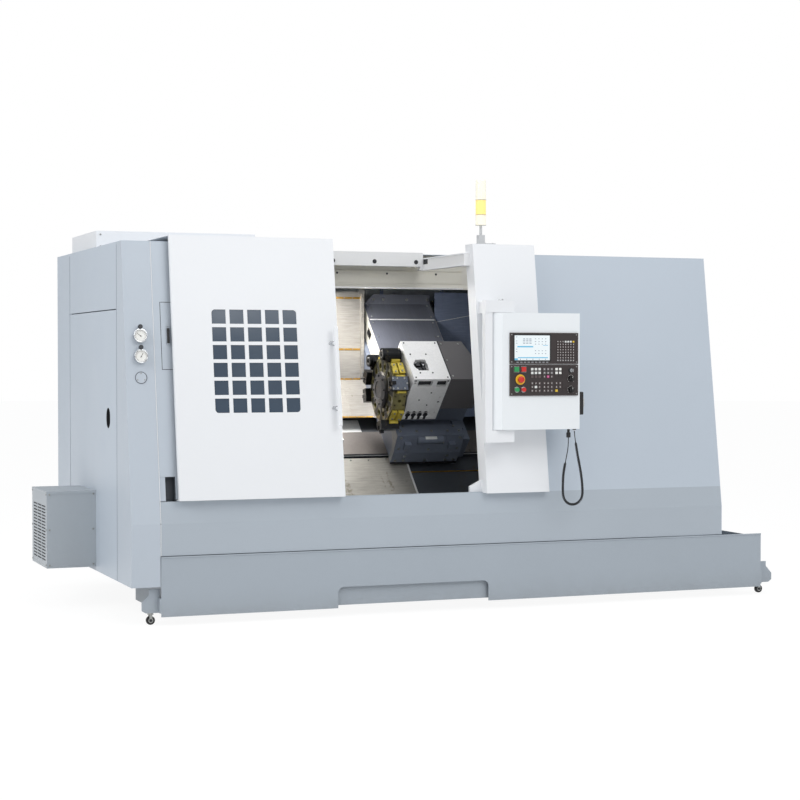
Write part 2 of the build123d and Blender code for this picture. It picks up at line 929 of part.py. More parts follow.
def rear_shell():
    """Back wall with its left return, the flange behind the side panels, door opening and hinge pins."""
    step = column_left + column_width
    right = cabin_right - sheet
    back = box(cabin_left, step, cabin_rear - sheet, cabin_rear, cabin_bottom, left_roof_under)
    back += box(step, right, cabin_rear - sheet, cabin_rear, cabin_bottom, right_roof_under)
    seam = side_rear_seam + panel_seam / 2
    side = box(cabin_left, cabin_left + sheet, seam, cabin_rear, cabin_bottom, left_roof_under)
    inside = cabin_left + sheet
    flange = box(inside, inside + sheet, seam - 40, seam + 20, cabin_bottom, left_roof_under)
    opening = box(
        rear_door_left + rear_door_overlap,
        rear_door_left + rear_door_width - rear_door_overlap,
        cabin_rear - 20,
        cabin_rear + 20,
        rear_door_bottom + rear_door_overlap,
        rear_door_bottom + rear_door_height - rear_door_overlap,
    )
    return back + side + flange - opening + rear_hinges(fixed=True)


def hinge_axis():
    """X and Y of the rear door's hinge line."""
    return rear_door_left - hinge_radius, cabin_rear + rear_door_thickness


def rear_hinges(fixed):
    """Two hinges: pins with their lugs for the shell, or barrels for the door."""
    x, y = hinge_axis()
    bore = hinge_pin_radius + shaft_clearance
    parts = []
    for middle in (rear_door_bottom + 200, rear_door_bottom + rear_door_height - 200):
        low, high = middle - hinge_length / 2, middle + hinge_length / 2
        barrel_low = low + slide_gap
        if fixed:
            edge = hinge_pin_radius
            lug = box(x - hinge_radius - 12, x + edge, cabin_rear - 1, y + edge, low - 16, low)
            parts.append(lug + rod_z(hinge_pin_radius, x, y, low - 1, high))
        else:
            strap = box(x, x + hinge_radius + 1, y - 6, y, barrel_low, high)
            barrel = rod_z(hinge_radius, x, y, barrel_low, high)
            parts.append(barrel + strap - rod_z(bore, x, y, low, high + 1))
    return parts


def rear_door():
    """Overlay door of the electrical cabinet, a folded tray with barrels and a handle."""
    x0, x1 = rear_door_left, rear_door_left + rear_door_width
    y0, y1 = cabin_rear + slide_gap, cabin_rear + rear_door_thickness
    z0, z1 = rear_door_bottom, rear_door_bottom + rear_door_height
    tray = box(x0, x1, y0, y1, z0, z1)
    tray -= box(x0 + sheet, x1 - sheet, y0 - 1, y1 - sheet, z0 + sheet, z1 - sheet)
    middle = (z0 + z1) / 2
    handle = box(x1 - 90, x1 - 60, y1 - 1, y1 + 14, middle - 70, middle + 70)
    return tray + handle + rear_hinges(fixed=False)


def right_shell():
    """Right cabinet: leaning front and flat right side that clears the tank, folded from one sheet."""
    left, top = column_left + column_width, right_roof_under
    front = leaning_plate(left, cabin_right, sill_height, top)
    over_tank = tank_top + tank_headroom
    behind_tank = tray_depth + side_clearance
    side_outline = [
        (cabin_front, over_tank),
        (cabin_front, bend_height),
        (lean(top), top),
        (cabin_rear, top),
        (cabin_rear, cabin_bottom),
        (behind_tank, cabin_bottom),
        (behind_tank, over_tank),
    ]
    return front + prism(cabin_right - sheet, cabin_right, side_outline)


def lower_front_band():
    """Bent band below the opening, with its sill and the rail that guides the door's shoe."""
    left, right = panel_seam / 2, cabin_right - sheet
    front = lean(sill_height)
    band = leaning_plate(left, right, tank_top + tank_headroom, sill_height)
    ledge = box(left, right, front, front + sill_depth, sill_height - sheet, sill_height)
    rail_front = front + rail_back
    rail_top = door_bottom - slide_gap
    rail = box(door_left, column_left - 2, rail_front, rail_front + rail_width, sill_height - 1, rail_top)
    return band + ledge + rail


def front_column():
    """Leaning white column, a channel open at its back, with the wedge that the door closes against."""
    left = column_left
    wedge_front = lean(sill_height) + wedge_back
    wedge_face = make_face(
        Polyline(
            (left - wedge_reach, sill_height),
            (left + sheet, sill_height),
            (left + sheet, sill_height + 82),
            (left - wedge_reach, sill_height + 40),
            close=True,
        )
    )
    wedge = extrude(Plane.XZ.offset(-wedge_front) * wedge_face, amount=24, dir=(0, 1, 0))
    return column_block(0, 0) - column_block(sheet, 1) + wedge


def column_block(inset, past_back):
    """The column's leaning block, smaller by the inset and longer at its back."""
    low, high = sill_height + inset, column_top - inset
    front = door_stand_off - inset
    back = door_stand_off - column_depth - past_back
    corners = [(lean(low, front), low), (lean(high, front), high)]
    corners += [(lean(high, back), high), (lean(low, back), low)]
    return prism(column_left + inset, column_left + column_width - inset, corners)


def roof_sheets():
    """Left roof in two pieces either side of the lintel, and the lower right roof."""
    step = column_left + column_width
    edge = lean(left_roof_under)
    front_left = box(cabin_left, cover_right + sheet, edge, lintel_front, left_roof_under, left_top)
    rear_left = box(cabin_left, step, lintel_front + lintel_depth, cabin_rear, left_roof_under, left_top)
    right = box(step, cabin_right, lean(right_roof_under), cabin_rear, right_roof_under, right_top)
    return [front_left, rear_left, right]


def roof_frame():
    """Welded frame over the opening: lintel, side beam to the column and the header with its folded lip."""
    lintel_back = lintel_front + lintel_depth
    web_front, web_back = lintel_front + sheet, lintel_back - sheet
    lintel = box(lintel_left, lintel_right, lintel_front, lintel_back, lintel_bottom, lintel_top)
    inside = (web_front, web_back, lintel_bottom - 1, lintel_top - sheet)
    lintel -= box(lintel_left - 1, lintel_right + 1, *inside)
    beam_left = column_left - side_beam_width
    beam = box(beam_left, column_left, side_beam_front, lintel_back, side_beam_bottom, side_beam_top)
    tie = box(lintel_right - 20, beam_left + 1, web_front, lintel_back, side_beam_bottom, side_beam_top)
    header_ends = (cover_right + sheet, column_left + column_width)
    header = box(*header_ends, header_front, header_front + sheet, header_bottom, left_roof_under)
    lip_front = header_front - header_lip
    lip = prism(
        header_ends[0],
        header_ends[1],
        [
            (header_front, header_fold),
            (lip_front, header_bottom + 10),
            (lip_front, header_bottom),
            (header_front, header_bottom),
        ],
    )
    bridge_ends = (lintel_right - 60, lintel_right, web_back, header_front + 1)
    bridge = box(*bridge_ends, lintel_bottom, lintel_bottom + 30)
    return lintel + beam + tie + header + lip + bridge


def roof_box():
    """Cable and extraction duct on the roof, open below."""
    x0, x1 = roof_box_left, roof_box_left + roof_box_width
    y0, y1 = roof_box_front, roof_box_front + roof_box_depth
    top = left_top + roof_box_height
    return box(x0, x1, y0, y1, left_top, top) - box(
        x0 + sheet, x1 - sheet, y0 + sheet, y1 - sheet, left_top - 1, top - sheet
    )


def work_area_liner():
    """Welded liner: left wall with the spindle hole, right wall, back wall and the chip trough."""
    left, right = cover_right, liner_right
    wall_n = -bed_drop + way_height + liner_clearance
    clear_low = slant_y_at_height(sill_height, wall_n)
    front_low = lean(sill_height) + sill_depth + liner_clearance
    front_top = lean(left_roof_under) + sill_depth + liner_clearance
    outline = [
        (front_low, sill_height),
        (front_top, left_roof_under),
        (liner_back, left_roof_under),
        (liner_back, slant_height_at_y(liner_back, wall_n)),
        (clear_low, sill_height),
    ]
    left_wall = prism(left, left + sheet, outline)
    left_wall -= rod_x(liner_hole_radius, left - 1, left + sheet + 1, spindle_y, spindle_z)
    left_wall -= box(
        left - 1,
        left + sheet + 1,
        lintel_front - 1,
        lintel_front + lintel_depth + 1,
        lintel_bottom - 1,
        lintel_top,
    )
    right_wall = prism(right, right + sheet, [(y, min(z, right_roof_under)) for y, z in outline])
    step = column_left + column_width
    slope_end = (liner_back - spindle_y) / half - bed_drop
    foot_z = slant(slope_end, -bed_drop)[1]
    back = box(left, step, liner_back, liner_back + sheet, foot_z, left_roof_under)
    back += box(step, right + sheet, liner_back, liner_back + sheet, foot_z, right_roof_under)
    slope = slant_box(left, right + sheet, bed_upper_end, slope_end + sheet, -bed_drop, -bed_drop + sheet)
    return left_wall + right_wall + back + slope + chip_trough(front_low, clear_low)


def slant_y_at_height(height, n):
    """Y of the plane n above the spindle's slope at a height."""
    return height - spindle_z + spindle_y - math.sqrt(2) * n


def slant_height_at_y(y, n):
    """Height of the plane n above the spindle's slope at a Y."""
    return y + spindle_z - spindle_y + math.sqrt(2) * n


def chip_trough(front_low, clear_low):
    """Sheet trough from under the sill to the bed, with an end plate below each wall of the liner."""
    top, back = sill_height - sheet, bed_face_low[0]
    lip_front = front_low - sill_depth / 3
    floor_front = trough_front - sheet
    section = [
        (lip_front, top),
        (front_low, top),
        (trough_front, trough_height + sheet),
        (back, trough_height + sheet),
        (back, trough_height),
        (floor_front, trough_height),
        (front_low - sheet, top - sheet),
        (lip_front, top - sheet),
    ]
    end_back = back - liner_clearance
    end_plate = [
        (front_low, sill_height + 1),
        (clear_low + 1, sill_height + 1),
        (end_back, sill_height + 1 - (clear_low + 1 - end_back)),
        (end_back, trough_height),
        (floor_front, trough_height),
    ]
    ends = [prism(x, x + sheet, end_plate) for x in (cover_right, liner_right)]
    return [prism(cover_right, liner_right + sheet, section)] + ends


nodes["left_end_cover"] = left_end_cover()
nodes["left_front_cover"] = left_front_cover()
nodes["side_upper_panel"] = side_upper_panel()
nodes["side_lower_panel"] = side_lower_panel()
nodes["rear_shell"] = rear_shell()
nodes["rear_door"] = rear_door()
nodes["right_shell"] = right_shell()
nodes["lower_front_band"] = lower_front_band()
nodes["front_column"] = front_column()
nodes["roof_sheets"] = roof_sheets()
nodes["roof_frame"] = roof_frame()
nodes["roof_box"] = roof_box()
nodes["work_area_liner"] = work_area_liner()

# Sliding door
door_right = door_left + door_width
window_left = door_left + window_left_margin
window_top = door_top - window_top_margin
window_width = window_columns * window_hole_width + (window_columns - 1) * window_bar_width
window_height = window_rows * window_hole_height + (window_rows - 1) * window_bar_height


def window_cutter():
    """All the square holes of the window as one cutter, rounded at its outer corners."""
    middle = Pos(window_left + window_width / 2, window_top - window_height / 2)
    frame = Plane.XZ * middle * RectangleRounded(window_width, window_height, window_corner)
    block = extrude(frame, amount=cut_reach - 100, both=True)
    window_right = window_left + window_width
    window_bottom = window_top - window_height
    bars = []
    for column in range(1, window_columns):
        right = window_left + column * (window_hole_width + window_bar_width)
        bars.append(box(right - window_bar_width, right, -cut_reach, cut_reach, window_bottom, window_top))
    for row in range(1, window_rows):
        low = window_top - row * (window_hole_height + window_bar_height)
        bars.append(box(window_left, window_right, -cut_reach, cut_reach, low, low + window_bar_height))
    return block - bars


def door_panel():
    """Folded door: leaning front with its window holes, edge flanges, shoe flange and the roof return."""
    off, deep = door_stand_off, door_stand_off - door_flange
    low, high = door_bottom, door_top
    front = leaning_plate(door_left, door_right, low, high, off) - window_cutter()
    edge = [(lean(low, off), low), (lean(high, off), high), (lean(high, deep), high), (lean(low, deep), low)]
    edges = [prism(x, x + sheet, edge) for x in (door_left, door_right - sheet)]
    shoe_back = lean(sill_height) + shoe_reach
    shoe = box(door_left, door_right, lean(low, off), shoe_back, low, low + sheet)
    roof_back = lintel_front + lintel_depth - 10
    roof = box(door_left, door_right, lean(high, off), roof_back, high - sheet, high)
    skid = box(door_left, door_right, roof_back - sheet, roof_back, lintel_top + slide_gap, high)
    return front + edges + shoe + roof + skid


def door_glass():
    """Pane behind the window holes."""
    return leaning_plate(
        window_left - glass_margin,
        window_left + window_width + glass_margin,
        window_top - window_height - glass_margin,
        window_top + glass_margin,
        door_stand_off - sheet,
        glass_thickness,
    )


def door_handle():
    """Long bar on two round studs."""
    right = door_right - handle_from_edge
    left = right - handle_width
    low, high = handle_middle - handle_length / 2, handle_middle + handle_length / 2
    back_off = door_stand_off + handle_stand_off
    bar = leaning_plate(left, right, low, high, back_off + handle_thickness, handle_thickness)
    bar = fillet(bar.edges().filter_by(Axis.X), 6)
    gap_zone = leaning_plate(left - 50, right + 50, low, high, back_off + 1, handle_stand_off + 1)
    heights = (handle_middle - stud_spacing / 2, handle_middle + stud_spacing / 2)
    return bar + [rod_y(stud_radius, (left + right) / 2, -400, 400, z) & gap_zone for z in heights]


nodes["door_panel"] = door_panel()
nodes["door_glass"] = door_glass()
nodes["door_handle"] = door_handle()

# Control pendant
pendant_right = pendant_left + pendant_width
pendant_top = pendant_bottom + pendant_height
pendant_back = pendant_front + pendant_depth
unit_front = pendant_front - unit_thickness
operator_top = unit_top - unit_height - unit_gap


def pendant_bracket():
    """C shaped bracket: upper and lower arm on the column, the post between them and two pivot pins."""
    low_arm = pendant_bottom - arm_gap - arm_height
    high_arm = pendant_top + arm_gap
    front, back = pivot_y - arm_half_depth, pivot_y + arm_half_depth
    arm_left = pivot_x - arm_half_depth
    arm_right = pivot_x + arm_reach
    pieces = []
    for low in (low_arm, high_arm):
        high = low + arm_height
        column_face = [(lean(z, door_stand_off), z) for z in (low, high)]
        side = [(front, low)] + column_face + [(front, high)]
        pieces.append(prism(arm_left, arm_right, side))
        pieces.append(box(arm_post_left, arm_left + 1, front, back, low, high))
    post_right = arm_post_left + arm_post_width
    post_inset = 5
    post_faces = (arm_post_left, post_right, front + post_inset, back - post_inset)
    pieces.append(box(*post_faces, low_arm + 1, high_arm + arm_height - 1))
    for low, high in (
        (pendant_top - pivot_length, high_arm + 1),
        (low_arm + arm_height - 1, pendant_bottom + pivot_length),
    ):
        pieces.append(rod_z(pivot_radius, pivot_x, pivot_y, low, high))
    return pieces[0] + pieces[1:]


def pendant_outline(inset):
    """Plan of the pendant box with its chamfered left front corner."""
    left, right = pendant_left + inset, pendant_right - inset
    front, back = pendant_front + inset, pendant_back - inset
    corner = pendant_chamfer - inset * 0.6
    return [(left, front + corner), (left + corner, front), (right, front), (right, back), (left, back)]


def control_places():
    """Centre of each push button, switch and knob as (x, z)."""
    left, top = unit_left, operator_top
    return {
        "start": (left + 47, top - 158),
        "halt": (left + 94, top - 158),
        "on": (left + 45, top - 29),
        "off": (left + 95, top - 29),
        "stop": (left + 70, top - 94),
        "switch": (left + knob_column, top - 36),
        "feed": (left + knob_column, top - 89),
        "speed": (left + knob_column, top - 160),
    }


def control_holes():
    """Through holes for every control's body or shaft."""
    y0, y1 = unit_front - 20, pendant_front + pendant_wall + 1
    places = control_places()
    radii = {name: button_radius + slide_gap for name in ("start", "halt")}
    radii["stop"] = stop_stem_radius + slide_gap
    radii.update({name: control_shaft + shaft_clearance for name in ("switch", "feed", "speed")})
    holes = [rod_y(radius, places[name][0], y0, y1, places[name][1]) for name, radius in radii.items()]
    reach = square_button / 2 + slide_gap
    for name in ("on", "off"):
        x, z = places[name]
        holes.append(box(x - reach, x + reach, y0, y1, z - reach, z + reach))
    return holes


def pendant_box():
    """Folded box with bosses for the pivot pins, holes behind the controls and the cord's gland."""
    low, high, wall = pendant_bottom, pendant_top, pendant_wall
    shell = plan_prism(low, high, pendant_outline(0))
    shell -= plan_prism(low + wall, high - wall, pendant_outline(wall))
    boss_radius = pivot_radius + 4 * wall
    boss_length = pivot_length + 6
    bore = pivot_radius + shaft_clearance
    for boss_low in (low, high - boss_length):
        shell += rod_z(boss_radius, pivot_x, pivot_y, boss_low, boss_low + boss_length)
        shell -= rod_z(bore, pivot_x, pivot_y, boss_low - 1, boss_low + boss_length + 1)
    gland = rod_z(gland_radius, cord_points[0][0], cord_y, low - gland_length, low + wall)
    return shell + gland - control_holes()


def handwheel_middle_height():
    """Height of the hand wheel's axis."""
    return handwheel_bottom + handwheel_height / 2


def key_block(x, z, width, height):
    """One raised key on a unit's face."""
    y0, y1 = unit_front - key_height, unit_front + 0.5
    return box(x - width / 2, x + width / 2, y0, y1, z - height / 2, z + height / 2)


def display_unit():
    """Upper panel: recessed screen, a block of keys beside it and a row of keys below it."""
    x0, z1 = unit_left, unit_top
    panel = box(x0, x0 + unit_width, unit_front, pendant_front, z1 - unit_height, z1)
    left, top = x0 + screen_left_margin, z1 - screen_top_margin
    y0, y1 = unit_front - 1, unit_front + screen_depth
    panel -= box(left, left + screen_width, y0, y1, top - screen_height, top)
    keys = [
        key_block(x0 + 336 + 18.5 * column, z1 - 56 - 17.2 * row, key_size, key_size)
        for column in range(7)
        for row in range(8)
    ]
    keys += [key_block(left + 20 + 26 * i, z1 - unit_height + 10, 18, 9) for i in range(9)]
    return panel + keys


def operator_unit():
    """Lower panel with groups of keys, the stop button's ring and the holes for the controls."""
    x0, z1 = unit_left, operator_top
    panel = box(x0, x0 + unit_width, unit_front, pendant_front, z1 - unit_height, z1)
    keys = [
        key_block(x0 + group_x + 26 * column + 9, z1 - group_z - 24 * row, 19, 17)
        for group_x in (146, 232, 318)
        for group_z in (28, 118)
        for column in range(3)
        for row in range(3)
    ]
    x, z = control_places()["stop"]
    ring = rod_y(stop_radius + 13, x, unit_front - 5, unit_front + 0.5, z)
    return panel + keys + ring - control_holes()


def push_button(name):
    """Round cap that slides in its hole."""
    x, z = control_places()[name]
    return rod_y(button_radius, x, unit_front - button_height, pendant_front + pendant_wall + 6, z)


def square_cap(name):
    """Square cap that slides in its hole."""
    x, z = control_places()[name]
    reach = square_button / 2
    return box(x - reach, x + reach, unit_front - 9, pendant_front + pendant_wall + 6, z - reach, z + reach)


def stop_button():
    """Mushroom head on its stem."""
    x, z = control_places()["stop"]
    head_front = unit_front - stop_height
    stem = rod_y(stop_stem_radius, x, head_front + 12, pendant_front + pendant_wall + 12, z)
    head = rod_y(stop_radius, x, head_front, head_front + 18, z)
    front = head.edges().filter_by(GeomType.CIRCLE).sort_by(Axis.Y)[0]
    return stem + fillet(front, 7)


def knob(name):
    """Round knob with a pointer bar, on its shaft."""
    x, z = control_places()[name]
    front = unit_front - knob_height
    shaft = rod_y(control_shaft, x, unit_front - 2, pendant_front + pendant_wall + 10, z)
    cap = rod_y(knob_radius, x, front, unit_front - slide_gap, z)
    reach = knob_radius - 2
    return shaft + cap + box(x - 4, x + 4, front - 5, front + 1, z - reach, z + reach)


def key_switch():
    """Lock barrel with its key standing in it."""
    x, z = control_places()["switch"]
    shaft = rod_y(control_shaft, x, unit_front - 2, pendant_front + pendant_wall + 10, z)
    barrel = rod_y(switch_radius, x, unit_front - 12, unit_front - slide_gap, z)
    key = box(x - 1.5, x + 1.5, unit_front - 36, unit_front - 11, z - 10, z + 10)
    return shaft + barrel + key


def handwheel_unit():
    """Flat box of the hand wheel on the pendant's right side, bored for the dial's shaft."""
    middle = handwheel_middle_height()
    x0, x1 = pendant_right, pendant_right + handwheel_thickness
    y0 = pendant_front + handwheel_inset
    reach = handwheel_height / 2
    unit = box(x0, x1, y0, y0 + handwheel_depth, middle - reach, middle + reach)
    unit = fillet(unit.edges().filter_by(Axis.X), 10)
    bore = rod_x(control_shaft + shaft_clearance, x0 + 8, x1 + 1, y0 + handwheel_depth / 2, middle)
    return unit - bore


def handwheel_dial():
    """Knurled dial with its small crank knob."""
    middle = handwheel_middle_height()
    y = pendant_front + handwheel_inset + handwheel_depth / 2
    face = pendant_right + handwheel_thickness + slide_gap
    dial = rod_x(dial_radius, face, face + dial_thickness, y, middle)
    shaft = rod_x(control_shaft, pendant_right + 10, face + 1, y, middle)
    crank = rod_x(7, face + dial_thickness - 1, face + dial_thickness + 16, y, middle + dial_radius - 12)
    return dial + shaft + crank


def cord_radii():
    """One bend radius for each inner point of the cord."""
    radii = []
    for before, corner, after in zip(cord_points, cord_points[1:], cord_points[2:]):
        first = Vector(corner[0] - before[0], corner[1] - before[1])
        second = Vector(after[0] - corner[0], after[1] - corner[1])
        turn = math.radians(first.get_angle(second))
        radii.append(0.45 * min(first.length, second.length) / math.tan(turn / 2))
    return radii


def cord_stretches():
    """Edges of the cord's path, split into thin, fat and thin."""
    path = FilletPolyline(*[(x, cord_y, z) for x, z in cord_points], radius=cord_radii())
    edges = path.edges().sort_by(path)
    first, last = cord_fat_runs
    return edges[: 2 * first], edges[2 * first : 2 * last + 1], edges[2 * last + 1 :]


def tube(edges, diameter):
    """Round tube along joined edges."""
    wire = Wire(edges)
    start = Plane(origin=wire @ 0, z_dir=wire % 0)
    return sweep(start * Circle(diameter / 2), path=wire)


def handwheel_cord():
    """Curly cord as one tube: thin, fat over the coils and thin again."""
    lead_out, coils, lead_in = cord_stretches()
    return tube(lead_out, cord_thin) + tube(coils, cord_fat) + tube(lead_in, cord_thin)


def cord_plug():
    """Round plug under the pendant with its threaded neck."""
    x, z = cord_points[-1]
    body = rod_z(plug_radius, x, cord_y, z, z + plug_length)
    body = fillet(body.edges().filter_by(GeomType.CIRCLE), 5)
    return body + rod_z(plug_radius * 0.6, x, cord_y, z + plug_length - 1, pendant_bottom)


nodes["pendant_bracket"] = pendant_bracket()
nodes["pendant_box"] = pendant_box()
nodes["display_unit"] = display_unit()
nodes["operator_unit"] = operator_unit()
nodes["start_button"] = push_button("start")
nodes["halt_button"] = push_button("halt")
nodes["power_on_button"] = square_cap("on")
nodes["power_off_button"] = square_cap("off")
nodes["stop_button"] = stop_button()
nodes["key_switch"] = key_switch()
nodes["feed_knob"] = knob("feed")
nodes["speed_knob"] = knob("speed")
nodes["handwheel_unit"] = handwheel_unit()
nodes["handwheel_dial"] = handwheel_dial()
nodes["handwheel_cord"] = handwheel_cord()
nodes["cord_plug"] = cord_plug()


# Gauges, stack light and side unit
def gauge_cases():
    """Two round pressure gauges on the leaning cover, each with its regulator above."""
    cases = []
    for z in gauge_heights:
        case = Pos(0, 0, gauge_depth / 2) * Cylinder(gauge_radius, gauge_depth)
        face = Pos(0, 0, gauge_depth) * Cylinder(gauge_radius - 6, 8)
        neck = Pos(0, gauge_radius + 4, 9) * Box(16, 24, 18)
        knob_place = Pos(0, gauge_radius + 14, regulator_height / 2)
        regulator = knob_place * Cylinder(regulator_radius, regulator_height)
        cases.append(on_front(gauge_x, z) * (case - face + neck + regulator))
    return cases


def light_front():
    """Y of the stack light's base plate."""
    return lean(column_top, door_stand_off) + light_back_from_column_front - light_base_depth / 2


def signal_base():
    """Foot plate, terminal block and pole of the stack light."""
    left = light_x - 25
    y0 = light_front()
    plate_top = column_top + light_base_height
    plate = box(left, left + light_base_length, y0, y0 + light_base_depth, column_top, plate_top)
    block_top = plate_top + light_block_height
    block = box(left, left + light_block_width, y0 + 10, y0 + 10 + light_block_width, column_top, block_top)
    return plate + block + rod_z(light_pole_radius, *light_axis(), block_top - 1, lens_start())


def light_axis():
    """X and Y of the stack light's axis."""
    return light_x - 4, light_front() + 31


def lens(low, height):
    """One tier of the stack light."""
    return rod_z(lens_radius, *light_axis(), low, low + height)


def lens_start():
    """Height where the lenses begin, on top of the pole."""
    return column_top + light_base_height + light_block_height + light_pole_height


def signal_lens_clear():
    """Pale collar below the amber tier, and the pale tier with its rounded cap above it."""
    low = lens_start()
    upper = lens(low + lens_collar_height + lens_height, lens_height + lens_cap_height)
    rounded = fillet(upper.edges().filter_by(GeomType.CIRCLE).sort_by(Axis.Z)[-1], 14)
    return [lens(low, lens_collar_height), rounded]


def side_unit_shell():
    """Sheet box on the left side, open towards the cabin, with rows of louvre slots on its outer face."""
    x0, x1 = cabin_left - side_unit_width, cabin_left
    y0, y1 = side_unit_front, side_unit_front + side_unit_depth
    z0, z1 = side_unit_bottom, side_unit_bottom + side_unit_height
    shell = box(x0, x1, y0, y1, z0, z1)
    shell -= box(x0 + sheet, x1 + 1, y0 + sheet, y1 - sheet, z0 + sheet, z1 - sheet)
    pitch_y = (side_unit_depth - 90) / vent_columns
    pitch_z = (side_unit_height - 130) / vent_rows
    slots = []
    for column in range(vent_columns):
        near = y0 + 50 + pitch_y * column
        for row in range(vent_rows):
            low = z0 + 45 + pitch_z * row
            slots.append(box(x0 - 1, x0 + sheet + 1, near, near + vent_length, low, low + vent_height))
    return shell - slots


nodes["gauge_cases"] = gauge_cases()
nodes["signal_base"] = signal_base()
nodes["signal_lens_amber"] = lens(lens_start() + lens_collar_height, lens_height)
nodes["signal_lens_clear"] = signal_lens_clear()
nodes["side_unit_shell"] = side_unit_shell()


# Tank and casters
def tank_tray():
    """Open tray with its long front plate, notched below, and a caster bracket at each front corner."""
    plate = box(0, tank_length, 0, sheet, tank_bottom, tank_top)
    notch_height = 4 * notch_radius + 2 * (notch_top - tank_bottom)
    notch = RectangleRounded(notch_right - notch_left, notch_height, notch_radius)
    middle = Pos((notch_left + notch_right) / 2, notch_top - notch_height / 2)
    plate -= extrude(Plane.XZ * middle * notch, amount=20, both=True)
    left, right = tray_side_margin, tank_length - tray_side_margin
    low, rim = tank_bottom + 15, tray_rim
    wall = sheet
    tray = box(left, right, tray_front, tray_depth, low, rim)
    tray -= box(left + wall, right - wall, tray_front + wall, tray_depth - wall, low + wall, rim + 1)
    joins = [box(left, right, sheet - 1, tray_front + 1, rim - wall, rim)]
    joins += [box(x, x + wall, sheet - 1, tray_front + 1, low, rim) for x in (left, right - wall)]
    joins.append(box(bed_left, bed_right, tray_depth - 1, tray_depth + rear_flange, rim - wall, rim))
    return plate + tray + joins + [caster_bracket(side) for side in (-1, 1)]


def tank_end(side):
    """X of the tank's left or right end."""
    return 0.0 if side < 0 else tank_length


def caster_bracket(side):
    """Gusset plate and shelf that stand out from the tank's end, bored for the caster's pin."""
    end = tank_end(side)
    low = shelf_bottom()
    reach = bracket_length * 0.78
    outline = [
        (0, low),
        (reach, low),
        (bracket_length, low + 18),
        (bracket_length, low + 62),
        (bracket_length * 0.6, low + 112),
        (bracket_length * 0.6, low + bracket_height - 24),
        (0, low + bracket_height - 24),
    ]
    face = make_face(Polyline(*[(end + side * (x - 1), z) for x, z in outline], close=True))
    front, back = sheet + 36, caster_depth + 45
    plate = extrude(Plane.XZ.offset(-front) * face, amount=bracket_plate, dir=(0, 1, 0))
    inward = end - side * (tray_side_margin + 1)
    shelf = box(*sorted((inward, end + side * reach)), front, back, low, low + bracket_plate)
    web = box(*sorted((end - side, end + side * bracket_plate)), 0, back, low, low + 90)
    bore = caster_pin_radius + shaft_clearance
    pin_hole = rod_z(bore, caster_x(side), caster_depth, low - 1, low + bracket_plate + 1)
    return plate + shelf + web - pin_hole


def shelf_bottom():
    """Height of the underside of the casters' shelf."""
    return 2 * wheel_radius + 24


def caster_x(side):
    """X of a caster's swivel."""
    return tank_end(side) + side * caster_reach


def caster_fork(side):
    """Swivel head and pin with two legs and the axle between them."""
    x, y = caster_x(side), caster_depth
    crown = 2 * wheel_radius + 8
    inner = wheel_width / 2 + 1.5
    outer = inner + 3
    head = rod_z(18, x, y, crown, shelf_bottom() - slide_gap)
    pin = rod_z(caster_pin_radius, x, y, crown, shelf_bottom() + bracket_plate)
    plate = box(x - 16, x + 16, y - outer, y + outer, crown, crown + 5)
    leg_low = wheel_radius - 9
    legs = [box(x - 9, x + 9, y0, y0 + outer - inner, leg_low, crown + 1) for y0 in (y - outer, y + inner)]
    return head + pin + plate + legs + rod_y(axle_radius, x, y - outer, y + outer, wheel_radius)


def caster_wheel(side):
    """Wheel with rounded shoulders on its axle."""
    x, y = caster_x(side), caster_depth
    wheel = rod_y(wheel_radius, x, y - wheel_width / 2, y + wheel_width / 2, wheel_radius)
    wheel = fillet(wheel.edges().filter_by(GeomType.CIRCLE), 4)
    return wheel - rod_y(axle_radius + shaft_clearance, x, y - wheel_width, y + wheel_width, wheel_radius)


nodes["tank_tray"] = tank_tray()
for side, name in ((-1, "left"), (1, "right")):
    nodes[f"caster_fork_{name}"] = caster_fork(side)
    nodes[f"caster_wheel_{name}"] = caster_wheel(side)

# Origin below the middle of the machine
cord_nodes = ("handwheel_cord", "cord_plug")


def as_solids(shape):
    """List of the solids of a shape or a list of shapes."""
    shapes = shape if isinstance(shape, list) else [shape]
    return [solid for item in shapes for solid in item.solids()]


def origin_offset():
    """Middle of the machine's box on the floor."""
    solids = [solid for name, shape in nodes.items() if name not in cord_nodes for solid in as_solids(shape)]
    outline = Compound(children=solids).bounding_box()
    return Vector((outline.min.X + outline.max.X) / 2, (outline.min.Y + outline.max.Y) / 2, outline.min.Z)


def write_parts():
    """One STEP file for each node."""
    os.makedirs("parts", exist_ok=True)
    offset_here = origin_offset()
    print("origin", offset_here)
    for name, shape in nodes.items():
        moved = [Pos(-offset_here.X, -offset_here.Y, -offset_here.Z) * solid for solid in as_solids(shape)]
        export_step(Compound(children=moved) if len(moved) > 1 else moved[0], f"parts/{name}.step")
    print("cord radii", [round(radius) for radius in cord_radii()])
    path_length = sum(edge.length for stretch in cord_stretches() for edge in stretch)
    print("cord length", round(path_length))


if __name__ == "__main__":
    write_parts()
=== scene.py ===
import math

import bmesh
import bpy
import numpy as np
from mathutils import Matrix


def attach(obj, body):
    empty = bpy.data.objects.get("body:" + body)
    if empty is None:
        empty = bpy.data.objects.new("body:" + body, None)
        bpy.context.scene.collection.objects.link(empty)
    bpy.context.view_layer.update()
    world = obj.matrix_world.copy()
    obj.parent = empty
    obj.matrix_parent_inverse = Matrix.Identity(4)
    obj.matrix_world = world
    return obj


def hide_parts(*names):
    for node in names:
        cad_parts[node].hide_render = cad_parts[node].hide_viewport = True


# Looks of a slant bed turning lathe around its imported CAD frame.
# Places are written in the machine's own millimetres: x right along the spindle, y back, z up.

